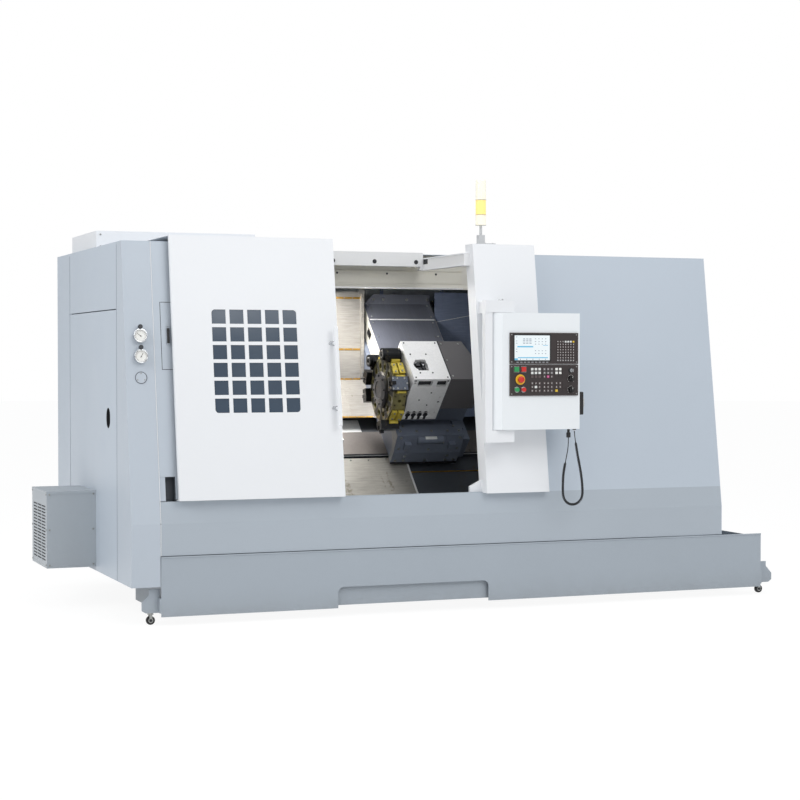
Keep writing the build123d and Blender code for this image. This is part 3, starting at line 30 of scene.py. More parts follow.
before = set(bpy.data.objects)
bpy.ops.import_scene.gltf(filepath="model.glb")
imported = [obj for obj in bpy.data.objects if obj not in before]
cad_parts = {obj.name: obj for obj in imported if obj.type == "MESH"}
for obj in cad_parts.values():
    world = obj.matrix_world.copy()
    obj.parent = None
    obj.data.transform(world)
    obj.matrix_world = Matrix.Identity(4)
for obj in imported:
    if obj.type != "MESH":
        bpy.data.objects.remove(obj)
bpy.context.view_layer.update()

# The machine's own layout against the row frame
machine_origin = np.array((1905.0, 1038.0, 0.0))
cabin_front = 5.0
bend_height = 618.0
lean_slope = 0.149
spindle_y = 650.0
spindle_z = 1153.0
door_stand_off = 60.0
half = math.sqrt(0.5)
on_axis = 1e-6
sharp_turn = math.radians(40)


def row(points):
    """Machine millimetres to row metres: the origin's place is taken off, then a thousandth."""
    return (np.asarray(points, float) - machine_origin) / 1000.0


def lean(height, stand_off=0.0):
    """Y of the leaning front: the front's foot plus the slope times the height above the bend."""
    return cabin_front + lean_slope * max(0.0, height - bend_height) - stand_off


def slant(s, n):
    """(y, z) of a point s up the bed's 45 degree slope and n square to it, from the spindle."""
    return spindle_y + (s - n) * half, spindle_z + (s + n) * half


class Place:
    """A local frame: right, up and out are its columns, and a local point is origin + columns times it."""

    def __init__(self, origin, right, up):
        right, up = np.array(right, float), np.array(up, float)
        right, up = right / np.linalg.norm(right), up / np.linalg.norm(up)
        self.origin = np.array(origin, float)
        self.axes = np.stack([right, up, np.cross(right, up)], axis=1)

    def __call__(self, points):
        return self.origin + np.asarray(points, float) @ self.axes.T


def on_front(x, z, stand_off=0.0):
    """Place on the leaning front at a height, out towards the viewer."""
    return Place((x, lean(z, stand_off), z), (1, 0, 0), (0, lean_slope, 1))


def on_bed(x, s, n):
    """Place on the bed's slope: right is x, up runs up the slope, out is square to it."""
    y, z = slant(s, n)
    return Place((x, y, z), (1, 0, 0), (0, 1, 1))


def upright(x, y, z):
    """Place on an upright face that looks at the viewer."""
    return Place((x, y, z), (1, 0, 0), (0, 0, 1))


def flat_on(x, y, z):
    """Place on a level face that looks up."""
    return Place((x, y, z), (1, 0, 0), (0, 1, 0))


def on_left(y, z, x=-181.0):
    """Place on the cabin's left side, out to the left."""
    return Place((x, y, z), (0, -1, 0), (0, 0, 1))


def on_right(x, y, z):
    """Place on a face that looks right."""
    return Place((x, y, z), (0, 1, 0), (0, 0, 1))


def facing_back(x, y, z):
    """Place on an upright face that looks away from the viewer."""
    return Place((x, y, z), (-1, 0, 0), (0, 0, 1))


# Surfaces as arrays: each gives (points, faces) in its own local millimetres
box_corners = np.array([(x, y, z) for z in (0, 1) for y in (0, 1) for x in (0, 1)], float)
box_faces = np.array([(0, 2, 3, 1), (4, 5, 7, 6), (0, 1, 5, 4), (2, 6, 7, 3), (0, 4, 6, 2), (1, 3, 7, 5)])


def blocks(bounds):
    """Boxes from rows of (x0, x1, y0, y1, z0, z1): each corner is low plus 0 or 1 times the size."""
    bounds = np.atleast_2d(np.asarray(bounds, float))
    low, size = bounds[:, 0::2], bounds[:, 1::2] - bounds[:, 0::2]
    points = low[:, None, :] + size[:, None, :] * box_corners[None]
    faces = box_faces[None] + 8 * np.arange(len(bounds))[:, None, None]
    return points.reshape(-1, 3), faces.reshape(-1, 4).tolist()


def tiles(centres, width, height, low, high):
    """Equal boxes centred at (x, y) pairs, from low to high."""
    centres = np.atleast_2d(np.asarray(centres, float))
    x, y = centres[:, 0], centres[:, 1]
    ends = np.ones(len(x))
    sides = (x - width / 2, x + width / 2, y - height / 2, y + height / 2, low * ends, high * ends)
    return blocks(np.stack(sides, axis=1))


def revolved(profile, sides=32):
    """Profile rows of (radius, height) turned about the out axis: x = r cos a, y = r sin a, z = h.
    An end at radius zero closes in one middle point. A profile that ends where it began closes on itself."""
    profile = np.asarray(profile, float)
    angles = np.linspace(0, 2 * np.pi, sides, endpoint=False)
    inner = profile[profile[:, 0] > on_axis]
    looped = len(inner) > 2 and np.allclose(inner[0], inner[-1])
    inner = inner[:-1] if looped else inner
    ring = np.stack([np.cos(angles), np.sin(angles)], axis=1)
    points = np.concatenate(
        [inner[:, None, :1] * ring[None], np.repeat(inner[:, None, 1:], sides, axis=1)], axis=2
    ).reshape(-1, 3)
    i, j = np.meshgrid(np.arange(len(inner) - (not looped)), np.arange(sides), indexing="ij")
    k, after = (j + 1) % sides, (i + 1) % len(inner)
    faces = np.stack([i * sides + j, i * sides + k, after * sides + k, after * sides + j], axis=-1)
    faces = faces.reshape(-1, 4).tolist()
    count = len(points)
    if profile[0, 0] <= on_axis:
        points = np.vstack([points, (0, 0, profile[0, 1])])
        faces += [(count, (a + 1) % sides, a) for a in range(sides)]
        count += 1
    if profile[-1, 0] <= on_axis:
        last = (len(inner) - 1) * sides
        points = np.vstack([points, (0, 0, profile[-1, 1])])
        faces += [(count, last + a, last + (a + 1) % sides) for a in range(sides)]
    return points, faces


def ring(radius, thickness, sides=40, around=10, height=0.0):
    """Torus: a small circle of the thickness carried round the radius, both closed."""
    a = np.linspace(0, 2 * np.pi, sides, endpoint=False)[:, None]
    b = np.linspace(0, 2 * np.pi, around, endpoint=False)[None, :]
    r = radius + thickness * np.cos(b)
    points = np.stack([r * np.cos(a), r * np.sin(a), height + thickness * np.sin(b) + 0 * a], axis=-1)
    i, j = np.meshgrid(np.arange(sides), np.arange(around), indexing="ij")
    k, l = (i + 1) % sides, (j + 1) % around
    faces = np.stack([i * around + j, k * around + j, k * around + l, i * around + l], axis=-1)
    return points.reshape(-1, 3), faces.reshape(-1, 4).tolist()


def extruded(outline, low, high):
    """Outline of (x, y) points carried from low to high, closed by its own outline at both ends."""
    outline = np.asarray(outline, float)
    count = len(outline)
    points = np.vstack([np.c_[outline, np.full(count, low)], np.c_[outline, np.full(count, high)]])
    sides = [(i, (i + 1) % count, count + (i + 1) % count, count + i) for i in range(count)]
    return points, [tuple(reversed(range(count))), tuple(range(count, 2 * count))] + sides


def repeated(shape, places):
    """One shape copied at each local (x, y) or (x, y, z)."""
    points, faces = shape
    places = np.atleast_2d(np.asarray(places, float))
    if places.shape[1] == 2:
        places = np.c_[places, np.zeros(len(places))]
    copies = points[None] + places[:, None, :]
    count = len(points)
    all_faces = [tuple(np.add(face, count * n).tolist()) for n in range(len(places)) for face in faces]
    return copies.reshape(-1, 3), all_faces


def joined(*shapes):
    """Several (points, faces) as one."""
    points, faces, start = [], [], 0
    for part_points, part_faces in shapes:
        points.append(np.asarray(part_points, float))
        faces += [tuple(int(v) + start for v in face) for face in part_faces]
        start += len(part_points)
    return np.vstack(points), faces


def at(place, shape):
    """A local shape in the machine's layout."""
    points, faces = shape
    return place(points), faces


def plates(place, bounds):
    """Boxes at a place."""
    return at(place, blocks(bounds))


def spots_round(radius, step, start=0):
    """Points on a circle, a step of degrees apart."""
    angles = np.radians(np.arange(start, start + 360, step))
    return radius * np.stack([np.cos(angles), np.sin(angles)], axis=1)


def screw_head(radius, height, sides=18):
    """Socket head: an edge rounded by one step and a sunk middle."""
    inner, floor = radius * 0.5, height * 0.45
    rows = [(0, 0), (radius, 0), (radius, height * 0.8), (radius * 0.88, height)]
    return revolved(rows + [(inner, height), (inner, floor), (0, floor)], sides)


def hex_head(radius, height):
    """Six sided head on a round washer."""
    flange, step = radius * 1.35, height * 0.25
    washer = revolved([(0, 0), (flange, 0), (flange, step), (0, step)], 18)
    head_rows = [(0, step * 0.8), (radius, step * 0.8), (radius, height * 0.9), (radius * 0.86, height)]
    return joined(washer, revolved(head_rows + [(0, height)], 6))


def piece(name, shape, material, body="machine", bevel=0.0, smooth=False):
    """A mesh object in the row frame that rides on a body, with an optional rounded edge."""
    points, faces = shape
    mesh = bpy.data.meshes.new(name)
    mesh.from_pydata(row(points).tolist(), [], faces)
    form = bmesh.new()
    form.from_mesh(mesh)
    bmesh.ops.recalc_face_normals(form, faces=form.faces)
    form.to_mesh(mesh)
    form.free()
    mesh.validate()
    mesh.update()
    obj = bpy.data.objects.new(name, mesh)
    bpy.context.scene.collection.objects.link(obj)
    mesh.materials.append(materials[material])
    if smooth:
        mesh.shade_smooth()
        mesh.set_sharp_from_angle(angle=sharp_turn)
    if bevel:
        rounding = obj.modifiers.new("edge", "BEVEL")
        rounding.width = bevel / 1000.0
        rounding.segments = 2
        rounding.limit_method = "ANGLE"
    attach(obj, body)
    return obj


# Shared shader effects, each a node group that puts out only colours, masks or heights
socket_kinds = {"colour": "NodeSocketColor", "value": "NodeSocketFloat", "vector": "NodeSocketVector"}
noise_middle = (0.3, 0.7)
edge_blur = 0.0015
peel_scale, spark_scale, lens_scale, pane_scale = 380.0, 650.0, 120.0, 30.0
foot_dark_colour = (120, 118, 112)
fresh_coolant, old_coolant = (96, 88, 66), (70, 64, 44)
fine_share = 0.35
bare_metallic = 0.7


def feed(tree, socket, value):
    """A socket linked to another socket, or set to a value."""
    if isinstance(value, bpy.types.NodeSocket):
        tree.links.new(value, socket)
    else:
        socket.default_value = value


def set_inputs(tree, shader, values):
    """The shader's named inputs, each linked or set."""
    for label, value in values.items():
        feed(tree, shader.inputs[label], value)


def object_coords(tree):
    """The Object coordinates of the surface."""
    return tree.nodes.new("ShaderNodeTexCoord").outputs["Object"]


def new_group(name, inputs, outputs):
    """A shader group with its named sockets: the group, what comes in, what goes out, the coordinates."""
    group = bpy.data.node_groups.new(name, "ShaderNodeTree")
    for label, kind, default in inputs:
        socket = group.interface.new_socket(name=label, in_out="INPUT", socket_type=socket_kinds[kind])
        socket.default_value = default
    for label, kind in outputs:
        group.interface.new_socket(name=label, in_out="OUTPUT", socket_type=socket_kinds[kind])
    start, end = group.nodes.new("NodeGroupInput"), group.nodes.new("NodeGroupOutput")
    return group, start.outputs, end.inputs, object_coords(group)


def noise(tree, vector, scale, detail=3.0, rough=0.55):
    """Noise read at a vector."""
    node = tree.nodes.new("ShaderNodeTexNoise")
    set_inputs(tree, node, {"Vector": vector, "Scale": scale, "Detail": detail, "Roughness": rough})
    return node.outputs["Fac"]


def remap(tree, value, low, high, to_low, to_high):
    """Value from one range to another, held at its ends."""
    node = tree.nodes.new("ShaderNodeMapRange")
    set_inputs(tree, node, {"Value": value, "From Min": low, "From Max": high})
    set_inputs(tree, node, {"To Min": to_low, "To Max": to_high})
    return node.outputs["Result"]


def spread(tree, value, to_low, to_high):
    """The middle range of a noise carried to another range."""
    return remap(tree, value, *noise_middle, to_low, to_high)


def mixed(tree, factor, first, second):
    """Colour mix of two sockets or colours."""
    node = tree.nodes.new("ShaderNodeMix")
    node.data_type = "RGBA"
    for index, value in ((0, factor), (6, first), (7, second)):
        feed(tree, node.inputs[index], value)
    return node.outputs[2]


def worked(tree, operation, first, second):
    """Math on two sockets or numbers."""
    node = tree.nodes.new("ShaderNodeMath")
    node.operation = operation
    set_inputs(tree, node, {0: first, 1: second})
    return node.outputs[0]


def times(tree, first, second):
    """Product of two sockets or numbers."""
    return worked(tree, "MULTIPLY", first, second)


def vector_worked(tree, operation, first, second):
    """Vector math: a scale has its own socket, and a dot product puts out a value."""
    node = tree.nodes.new("ShaderNodeVectorMath")
    node.operation = operation
    set_inputs(tree, node, {0: first, ("Scale" if operation == "SCALE" else 1): second})
    return node.outputs["Value" if operation == "DOT_PRODUCT" else 0]


def clamped(tree, value):
    """Value held between 0 and 1."""
    node = tree.nodes.new("ShaderNodeClamp")
    feed(tree, node.inputs["Value"], value)
    return node.outputs[0]


def tint_drift_group():
    """Colour that drifts a little over the surface: broad clouds and a faint fine mottle."""
    group, start, end, coords = new_group(
        "TintDrift",
        [("Colour", "colour", (0.5, 0.5, 0.5, 1)), ("Amount", "value", 0.05)],
        [("Colour", "colour")],
    )
    fine = times(group, noise(group, coords, 60.0, 2.0), fine_share)
    both = worked(group, "ADD", noise(group, coords, 1.3, 2.0), fine)
    centred = worked(group, "SUBTRACT", both, (1.0 + fine_share) / 2)
    gain = worked(group, "ADD", times(group, times(group, centred, start["Amount"]), 2.0), 1.0)
    feed(group, end["Colour"], vector_worked(group, "SCALE", start["Colour"], gain))
    return group


def orange_peel_group():
    """Skin of powder coat: fine bumps for the height and a faint change of gloss."""
    group, start, end, coords = new_group(
        "OrangePeel", [("Scale", "value", 420.0)], [("Height", "value"), ("Gloss", "value")]
    )
    feed(group, end["Height"], noise(group, coords, start["Scale"], 2.0, 0.6))
    feed(group, end["Gloss"], noise(group, coords, 2.2, 3.0))
    return group


def brushed_group():
    """Brushed grain: noise stretched along one axis by the stretch vector, and slow clouds."""
    group, start, end, coords = new_group(
        "BrushedGrain",
        [("Stretch", "vector", (1.0, 60.0, 60.0))],
        [("Streaks", "value"), ("Clouds", "value")],
    )
    stretched = vector_worked(group, "MULTIPLY", coords, start["Stretch"])
    feed(group, end["Streaks"], noise(group, stretched, 9.0, 5.0, 0.65))
    feed(group, end["Clouds"], noise(group, coords, 3.0, 4.0, 0.6))
    return group


def coolant_group():
    """Dried coolant: runs that go downhill and small splashes, as one mask."""
    group, start, end, coords = new_group("CoolantMarks", [("Cover", "value", 0.5)], [("Mask", "value")])
    runs = noise(group, vector_worked(group, "MULTIPLY", coords, (14.0, 1.6, 1.6)), 1.0, 4.0, 0.6)
    splashes = noise(group, coords, 38.0, 3.0, 0.7)
    both = times(group, runs, worked(group, "ADD", splashes, 0.5))
    edge = worked(group, "SUBTRACT", 0.72, times(group, start["Cover"], 0.35))
    feed(group, end["Mask"], clamped(group, times(group, worked(group, "SUBTRACT", both, edge), 7.0)))
    return group


def foot_darkening_group():
    """Darker towards the floor: strong at the floor, gone at the given height, broken up by noise."""
    group, start, end, coords = new_group("FootDarkening", [("Height", "value", 0.5)], [("Mask", "value")])
    parts = group.nodes.new("ShaderNodeSeparateXYZ")
    feed(group, parts.inputs[0], coords)
    share = worked(group, "DIVIDE", parts.outputs["Z"], start["Height"])
    lowness = clamped(group, worked(group, "SUBTRACT", 1.0, share))
    broken = noise(group, coords, 14.0, 4.0, 0.6)
    feed(group, end["Mask"], times(group, worked(group, "POWER", lowness, 2.0), broken))
    return group


tint_drift = tint_drift_group()
orange_peel = orange_peel_group()
brushed_grain = brushed_group()
coolant_marks = coolant_group()
foot_darkening = foot_darkening_group()


def use_group(tree, group, **values):
    """What a group puts out, placed in a material with its own values."""
    node = tree.nodes.new("ShaderNodeGroup")
    node.node_tree = group
    set_inputs(tree, node, values)
    return node.outputs


def blank_material(name):
    """A material with its tree and its Principled shader."""
    material = bpy.data.materials.new(name)
    material.use_nodes = True
    tree = material.node_tree
    return material, tree, tree.nodes["Principled BSDF"]


def raise_surface(tree, shader, height, distance, strength):
    """Bump of a height socket, its distance in metres."""
    bump = tree.nodes.new("ShaderNodeBump")
    set_inputs(tree, bump, {"Distance": distance, "Strength": strength, "Height": height})
    feed(tree, shader.inputs["Normal"], bump.outputs[0])


def srgb(r, g, b):
    """Linear colour of 8 bit display values.
    It is ((c + 0.055) / 1.055) to the power 2.4, or c / 12.92 when small."""
    c = np.array((r, g, b), float) / 255.0
    linear = np.where(c <= 0.04045, c / 12.92, ((c + 0.055) / 1.055) ** 2.4)
    return (*linear.tolist(), 1.0)


def past_edge(tree, weights, edge):
    """1 where the weighted sum of the Object coordinates is past the edge, 0 before it."""
    reach = vector_worked(tree, "DOT_PRODUCT", object_coords(tree), weights)
    return remap(tree, reach, edge - edge_blur, edge + edge_blur, 0.0, 1.0)


def drifting(tree, colour, amount):
    """A colour that drifts over the surface."""
    return use_group(tree, tint_drift, Colour=colour, Amount=amount)["Colour"]


def marked(tree, colour, cover, share, coolant):
    """A colour with dried coolant over it."""
    mask = use_group(tree, coolant_marks, Cover=cover)["Mask"]
    return mixed(tree, times(tree, mask, share), colour, srgb(*coolant))


def powder_coat(
    name, colour, roughness, drift, darkening=0.0, darkening_height=0.5, other=None, weights=None, edge=0.0
):
    """Powder coated steel: drifting colour, orange peel, uneven gloss and a darker tone towards the floor.
    Past an edge, another colour may take over."""
    material, tree, shader = blank_material(name)
    if other:
        colour = mixed(tree, past_edge(tree, weights, edge), colour, srgb(*other))
    paint = drifting(tree, colour, drift)
    # Darker towards the floor where the foot mask is strong, mixed towards the foot colour.
    if darkening:
        mask = use_group(tree, foot_darkening, Height=darkening_height)["Mask"]
        paint = mixed(tree, times(tree, mask, darkening), paint, srgb(*foot_dark_colour))
    skin = use_group(tree, orange_peel, Scale=peel_scale)
    gloss = spread(tree, skin["Gloss"], roughness - 0.06, roughness + 0.06)
    set_inputs(tree, shader, {"Base Color": paint, "Roughness": gloss, "Specular IOR Level": 0.45})
    raise_surface(tree, shader, skin["Height"], 0.0002, 0.35)
    return material


def brushed_metal(name, colour, roughness, stretch, marks, shade, metallic=1.0):
    """Brushed or ground metal: grain along one axis, cloudy shade and dried coolant."""
    material, tree, shader = blank_material(name)
    grain = use_group(tree, brushed_grain, Stretch=stretch)
    tone = spread(tree, grain["Streaks"], 1.0 - shade, 1.0 + shade * 0.4)
    cloud = spread(tree, grain["Clouds"], 1.0 - shade * 0.6, 1.0)
    surface = vector_worked(tree, "SCALE", colour[:3], times(tree, tone, cloud))
    if marks:
        surface = marked(tree, surface, marks, 0.6, fresh_coolant)
    uneven = spread(tree, grain["Streaks"], roughness - 0.08, roughness + 0.12)
    set_inputs(tree, shader, {"Base Color": surface, "Metallic": metallic, "Roughness": uneven})
    raise_surface(tree, shader, grain["Streaks"], 0.0003, 0.25)
    return material


def cast_surface(
    name, colour, roughness, grain=90.0, depth=0.0006, marks=0.2, metallic=0.0,
    other=None, weights=None, edge=0.0,
):
    """Painted or raw casting: pitted skin, drifting colour and coolant marks.
    Past an edge, ground metal of another colour may take over."""
    material, tree, shader = blank_material(name)
    if other:
        bare = past_edge(tree, weights, edge)
        colour, metallic = mixed(tree, bare, colour, srgb(*other)), times(tree, bare, bare_metallic)
    surface = marked(tree, drifting(tree, colour, 0.22), marks, 0.5, old_coolant)
    skin = noise(tree, object_coords(tree), grain, 4.0, 0.65)
    uneven = spread(tree, skin, roughness - 0.1, roughness + 0.1)
    set_inputs(tree, shader, {"Base Color": surface, "Metallic": metallic, "Roughness": uneven})
    raise_surface(tree, shader, skin, depth, 0.4)
    return material


def moulded_plastic(name, colour, roughness, coat=0.0):
    """Moulded plastic: fine spark texture and a slight drift of colour."""
    material, tree, shader = blank_material(name)
    skin = use_group(tree, orange_peel, Scale=spark_scale)
    gloss = spread(tree, skin["Gloss"], roughness - 0.05, roughness + 0.05)
    paint = drifting(tree, colour, 0.08)
    set_inputs(tree, shader, {"Base Color": paint, "Roughness": gloss, "Coat Weight": coat})
    raise_surface(tree, shader, skin["Height"], 0.00008, 0.4)
    return material


def lens_plastic(name, colour, glow):
    """Translucent lens: pale body that scatters light, with a faintly uneven skin and a small painted glow
    that lifts the unlit lens towards pale.
    """
    material, tree, shader = blank_material(name)
    skin = use_group(tree, orange_peel, Scale=lens_scale)
    set_inputs(tree, shader, {"Base Color": drifting(tree, colour, 0.1), "Transmission Weight": 0.35})
    set_inputs(tree, shader, {"Roughness": spread(tree, skin["Gloss"], 0.12, 0.22)})
    set_inputs(tree, shader, {"Emission Color": colour, "Emission Strength": glow})
    raise_surface(tree, shader, skin["Height"], 0.0002, 0.3)
    return material


def smoked_glass(name, colour, roughness=0.06):
    """Window pane: dark smoked glass, a little uneven in its face and its gloss."""
    material, tree, shader = blank_material(name)
    skin = use_group(tree, orange_peel, Scale=pane_scale)
    gloss = spread(tree, skin["Gloss"], roughness, roughness + 0.12)
    set_inputs(tree, shader, {"Base Color": drifting(tree, colour, 0.12), "Roughness": gloss, "IOR": 1.5})
    raise_surface(tree, shader, skin["Height"], 0.0001, 0.15)
    return material


def rubber(name, colour, roughness):
    """Black rubber: matt, dusty in patches."""
    material, tree, shader = blank_material(name)
    patch = noise(tree, object_coords(tree), 55.0, 4.0, 0.7)
    dusty = mixed(tree, remap(tree, patch, 0.45, 0.75, 0.0, 0.35), colour, (0.09, 0.088, 0.085, 1.0))
    uneven = spread(tree, patch, roughness - 0.1, roughness + 0.15)
    set_inputs(tree, shader, {"Base Color": dusty, "Roughness": uneven})
    raise_surface(tree, shader, patch, 0.0003, 0.3)
    return material


def lit_panel(name, colour, strength):
    """Lit screen surface: even glow with a faint drift."""
    material, tree, shader = blank_material(name)
    set_inputs(tree, shader, {"Emission Color": drifting(tree, colour, 0.06), "Emission Strength": strength})
    set_inputs(tree, shader, {"Base Color": (0.01, 0.01, 0.01, 1.0), "Roughness": 0.2})
    return material


materials = {
    "black_cord": rubber("black_cord", (0.016, 0.017, 0.02, 1.0), 0.5),
    "tyre_rubber": rubber("tyre_rubber", (0.012, 0.012, 0.013, 1.0), 0.6),
}


def finishes(make, *rows):
    """A material from each row of a name, a display colour and the finish's own numbers."""
    for name, colour, *numbers in rows:
        materials[name] = make(name, srgb(*colour), *numbers)


# Each row: the name, the display colour, then the numbers in the order of the function's own parameters
finishes(
    powder_coat,
    ("white_paint", (235, 237, 240), 0.4, 0.02),
    ("panel_paint", (190, 200, 211), 0.42, 0.03, 0.25, 0.4),
    ("cover_paint", (188, 197, 207), 0.42, 0.03),
    ("band_paint", (176, 185, 194), 0.42, 0.03),
    ("tank_paint", (168, 177, 186), 0.45, 0.04, 0.5, 0.25),
    ("side_unit_paint", (174, 181, 187), 0.4, 0.04, 0.2, 0.5),
    ("header_paint", (230, 231, 232), 0.4, 0.04, 0.0, 0.5, (226, 223, 214), (0, 1, 0), 0.022),
    ("pendant_paint", (238, 242, 245), 0.38, 0.02),
    ("drive_grey", (94, 92, 94), 0.42, 0.12),
    ("cream_paint", (224, 221, 210), 0.42, 0.06),
    ("shadow_grey", (30, 32, 36), 0.5, 0.1),
    # Grey painted as the shade inside the hand pocket.
    ("pocket_grey", (74, 79, 86), 0.45, 0.08),
    ("seam_blue", (96, 106, 124), 0.45, 0.05),
)
finishes(
    cast_surface,
    ("casting_paint", (96, 102, 112), 0.5),
    ("bed_paint", (70, 74, 80), 0.45, 90.0, 0.0006, 0.3, 0.0, (118, 113, 110), (0, -half, half), 0.6376),
    ("saddle_iron", (118, 126, 142), 0.42, 60.0, 0.0006, 0.15, 0.1),
    ("turret_light", (238, 238, 238), 0.35, 200.0, 0.0002, 0.05, 0.2),
    ("disc_steel", (112, 106, 60), 0.45, 120.0, 0.0004, 0.6, 0.2, (60, 60, 64), (-1, 0, 0), 0.1405),
    ("shadow_olive", (34, 34, 30), 0.6, 120.0, 0.0004, 0.3, 0.3),
    ("hub_grey", (62, 62, 66), 0.5, 150.0, 0.0003, 0.2, 0.4),
    # Paler grey painted as the light on the apron's left face.
    ("apron_pale", (134, 138, 142), 0.42, 90.0, 0.0004, 0.25, 0.3),
)
finishes(
    brushed_metal,
    ("liner_steel", (176, 178, 178), 0.32, (1.0, 30.0, 1.4), 0.35, 0.3),
    ("cover_steel", (112, 115, 126), 0.36, (60.0, 1.0, 1.0), 0.15, 0.2, 0.3),
    ("ground_steel", (188, 190, 192), 0.24, (1.0, 70.0, 70.0), 0.0, 0.18),
    ("turned_steel", (160, 163, 165), 0.28, (90.0, 2.0, 2.0), 0.15, 0.25),
    ("black_oxide", (44, 45, 47), 0.42, (20.0, 20.0, 20.0), 0.3, 0.3),
    ("brass_strip", (205, 160, 78), 0.3, (1.5, 60.0, 60.0), 0.1, 0.2),
    ("chrome_plate", (214, 216, 218), 0.12, (3.0, 3.0, 3.0), 0.0, 0.08),
    ("zinc_plate", (170, 172, 170), 0.3, (12.0, 12.0, 12.0), 0.1, 0.2),
    # Lit and painted shade copies of one cover sheet: the lit copy goes on the left covers and their
    # fittings, the darker shaded copy on the right covers and the liner's seams.
    ("bright_sheet", (172, 168, 162), 0.36, (1.0, 26.0, 26.0), 0.3, 0.3, 0.5),
    ("shaded_sheet", (132, 143, 168), 0.4, (1.0, 26.0, 26.0), 0.2, 0.25, 0.25),
    # Near white sheet that paints highlights and reflections on edges, folds and the bed's strip.
    ("polished_sheet", (236, 237, 237), 0.3, (1.0, 40.0, 40.0), 0.05, 0.08, 0.2),
    ("guard_sheet", (186, 183, 176), 0.36, (1.0, 40.0, 8.0), 0.35, 0.3, 0.5),
    ("dark_bolt", (74, 75, 78), 0.35, (12.0, 12.0, 12.0), 0.1, 0.2),
    ("gold_zinc", (222, 200, 82), 0.34, (20.0, 20.0, 20.0), 0.3, 0.25, 0.4),
    # Grey-blue painted sheen of the black holders' top faces.
    ("holder_grey", (98, 104, 116), 0.34, (20.0, 20.0, 4.0), 0.2, 0.25, 0.7),
)
finishes(
    moulded_plastic,
    ("unit_grey", (120, 116, 118), 0.42),
    ("unit_edge", (70, 60, 60), 0.4),
    ("key_brown", (88, 76, 76), 0.42),
    ("dark_panel", (50, 42, 42), 0.42),
    ("black_plastic", (26, 26, 28), 0.4),
    ("green_button", (40, 150, 84), 0.3, 0.3),
    ("red_button", (205, 40, 34), 0.3, 0.3),
    ("yellow_ring", (238, 186, 40), 0.35, 0.2),
    ("white_key", (226, 228, 226), 0.4),
    ("grey_key", (140, 142, 146), 0.4),
    ("magenta_key", (190, 60, 130), 0.4),
    ("yellow_key", (226, 190, 60), 0.4),
    ("dial_white", (240, 240, 236), 0.45),
    ("grey_plastic", (196, 198, 200), 0.35),
    ("needle_black", (20, 20, 20), 0.4),
)
finishes(
    smoked_glass,
    ("window_pane", (62, 76, 92)),
)
finishes(
    lens_plastic,
    # The lenses are unlit. Their small glow is painted light that makes them paler.
    ("amber_lens", (250, 228, 150), 0.3),
    ("pale_lens", (246, 244, 232), 0.2),
)
finishes(
    lit_panel,
    ("screen_white", (236, 245, 249), 1.0),
    ("screen_blue", (92, 186, 224), 1.0),
    ("screen_dark", (60, 90, 130), 0.8),
)

# The finish of every node of the CAD
worn_by = {
    "bed_paint": "bed_casting",
    "zinc_plate": "levelling_feet caster_fork_left caster_fork_right",
    "casting_paint": "headstock_casting tailstock_body",
    "ground_steel": "spindle chuck_jaw_1 chuck_jaw_2 chuck_jaw_3 tailstock_quill",
    "turned_steel": "chuck_body",
    "saddle_iron": "saddle saddle_apron cross_slide",
    "cover_steel": "cross_slide_covers",
    "turret_light": "turret_housing",
    "drive_grey": "turret_drive_housing",
    "disc_steel": "turret_disc",
    "black_oxide": "tool_holders",
    "cover_paint": "left_end_cover left_front_cover",
    "panel_paint": "side_upper_panel side_lower_panel rear_shell rear_door right_shell roof_sheets",
    "band_paint": "lower_front_band",
    "white_paint": "front_column roof_box door_panel door_handle pendant_bracket",
    "header_paint": "roof_frame",
    "liner_steel": "work_area_liner",
    "window_pane": "door_glass",
    "pendant_paint": "pendant_box",
    "dark_panel": "display_unit operator_unit",
    "green_button": "start_button power_on_button",
    "red_button": "halt_button power_off_button stop_button",
    "chrome_plate": "key_switch gauge_cases",
    "black_plastic": "feed_knob speed_knob handwheel_unit cord_plug",
    "grey_plastic": "handwheel_dial signal_base",
    "black_cord": "handwheel_cord",
    "amber_lens": "signal_lens_amber",
    "pale_lens": "signal_lens_clear",
    "side_unit_paint": "side_unit_shell",
    "tank_paint": "tank_tray",
    "tyre_rubber": "caster_wheel_left caster_wheel_right",
}
for finish, worn in worn_by.items():
    for node_name in worn.split():
        node_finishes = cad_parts[node_name].data.materials
        node_finishes.clear()
        node_finishes.append(materials[finish])


# Folded sheets and places inside the work area
def thickened(path, thickness):
    """Closed outline of an open path: the path, then back along it moved sideways by the thickness.
    At a corner the move follows the halved angle: 2 (n1 + n2) / |n1 + n2| squared, for the two normals."""
    path = np.asarray(path, float)
    runs = np.diff(path, axis=0)
    runs /= np.linalg.norm(runs, axis=1)[:, None]
    normals = np.stack([-runs[:, 1], runs[:, 0]], axis=1)
    halved = np.vstack([normals[:1], normals]) + np.vstack([normals, normals[-1:]])
    move = 2 * halved / (halved**2).sum(axis=1)[:, None]
    return np.vstack([path, (path + thickness * move)[::-1]])


def section_place(x):
    """Place across the slope: right is s, up is n, out is x."""
    return Place((x, spindle_y, spindle_z), (0, 1, 1), (0, -1, 1))


def disc_shape(radius, low, high, sides=32):
    """Round plate: one ring turned between two middle points."""
    return revolved([(0, low), (radius, low), (radius, high), (0, high)], sides)


def band_shape(inner, outer, low, high, sides=48):
    """Flat ring with square edges."""
    return revolved([(inner, low), (outer, low), (outer, high), (inner, high), (inner, low)], sides)


def screws_at(place, spots, radius, height=None):
    """Socket screws at local (x, y) spots."""
    return at(place, repeated(screw_head(radius, height or radius * 0.7), spots))


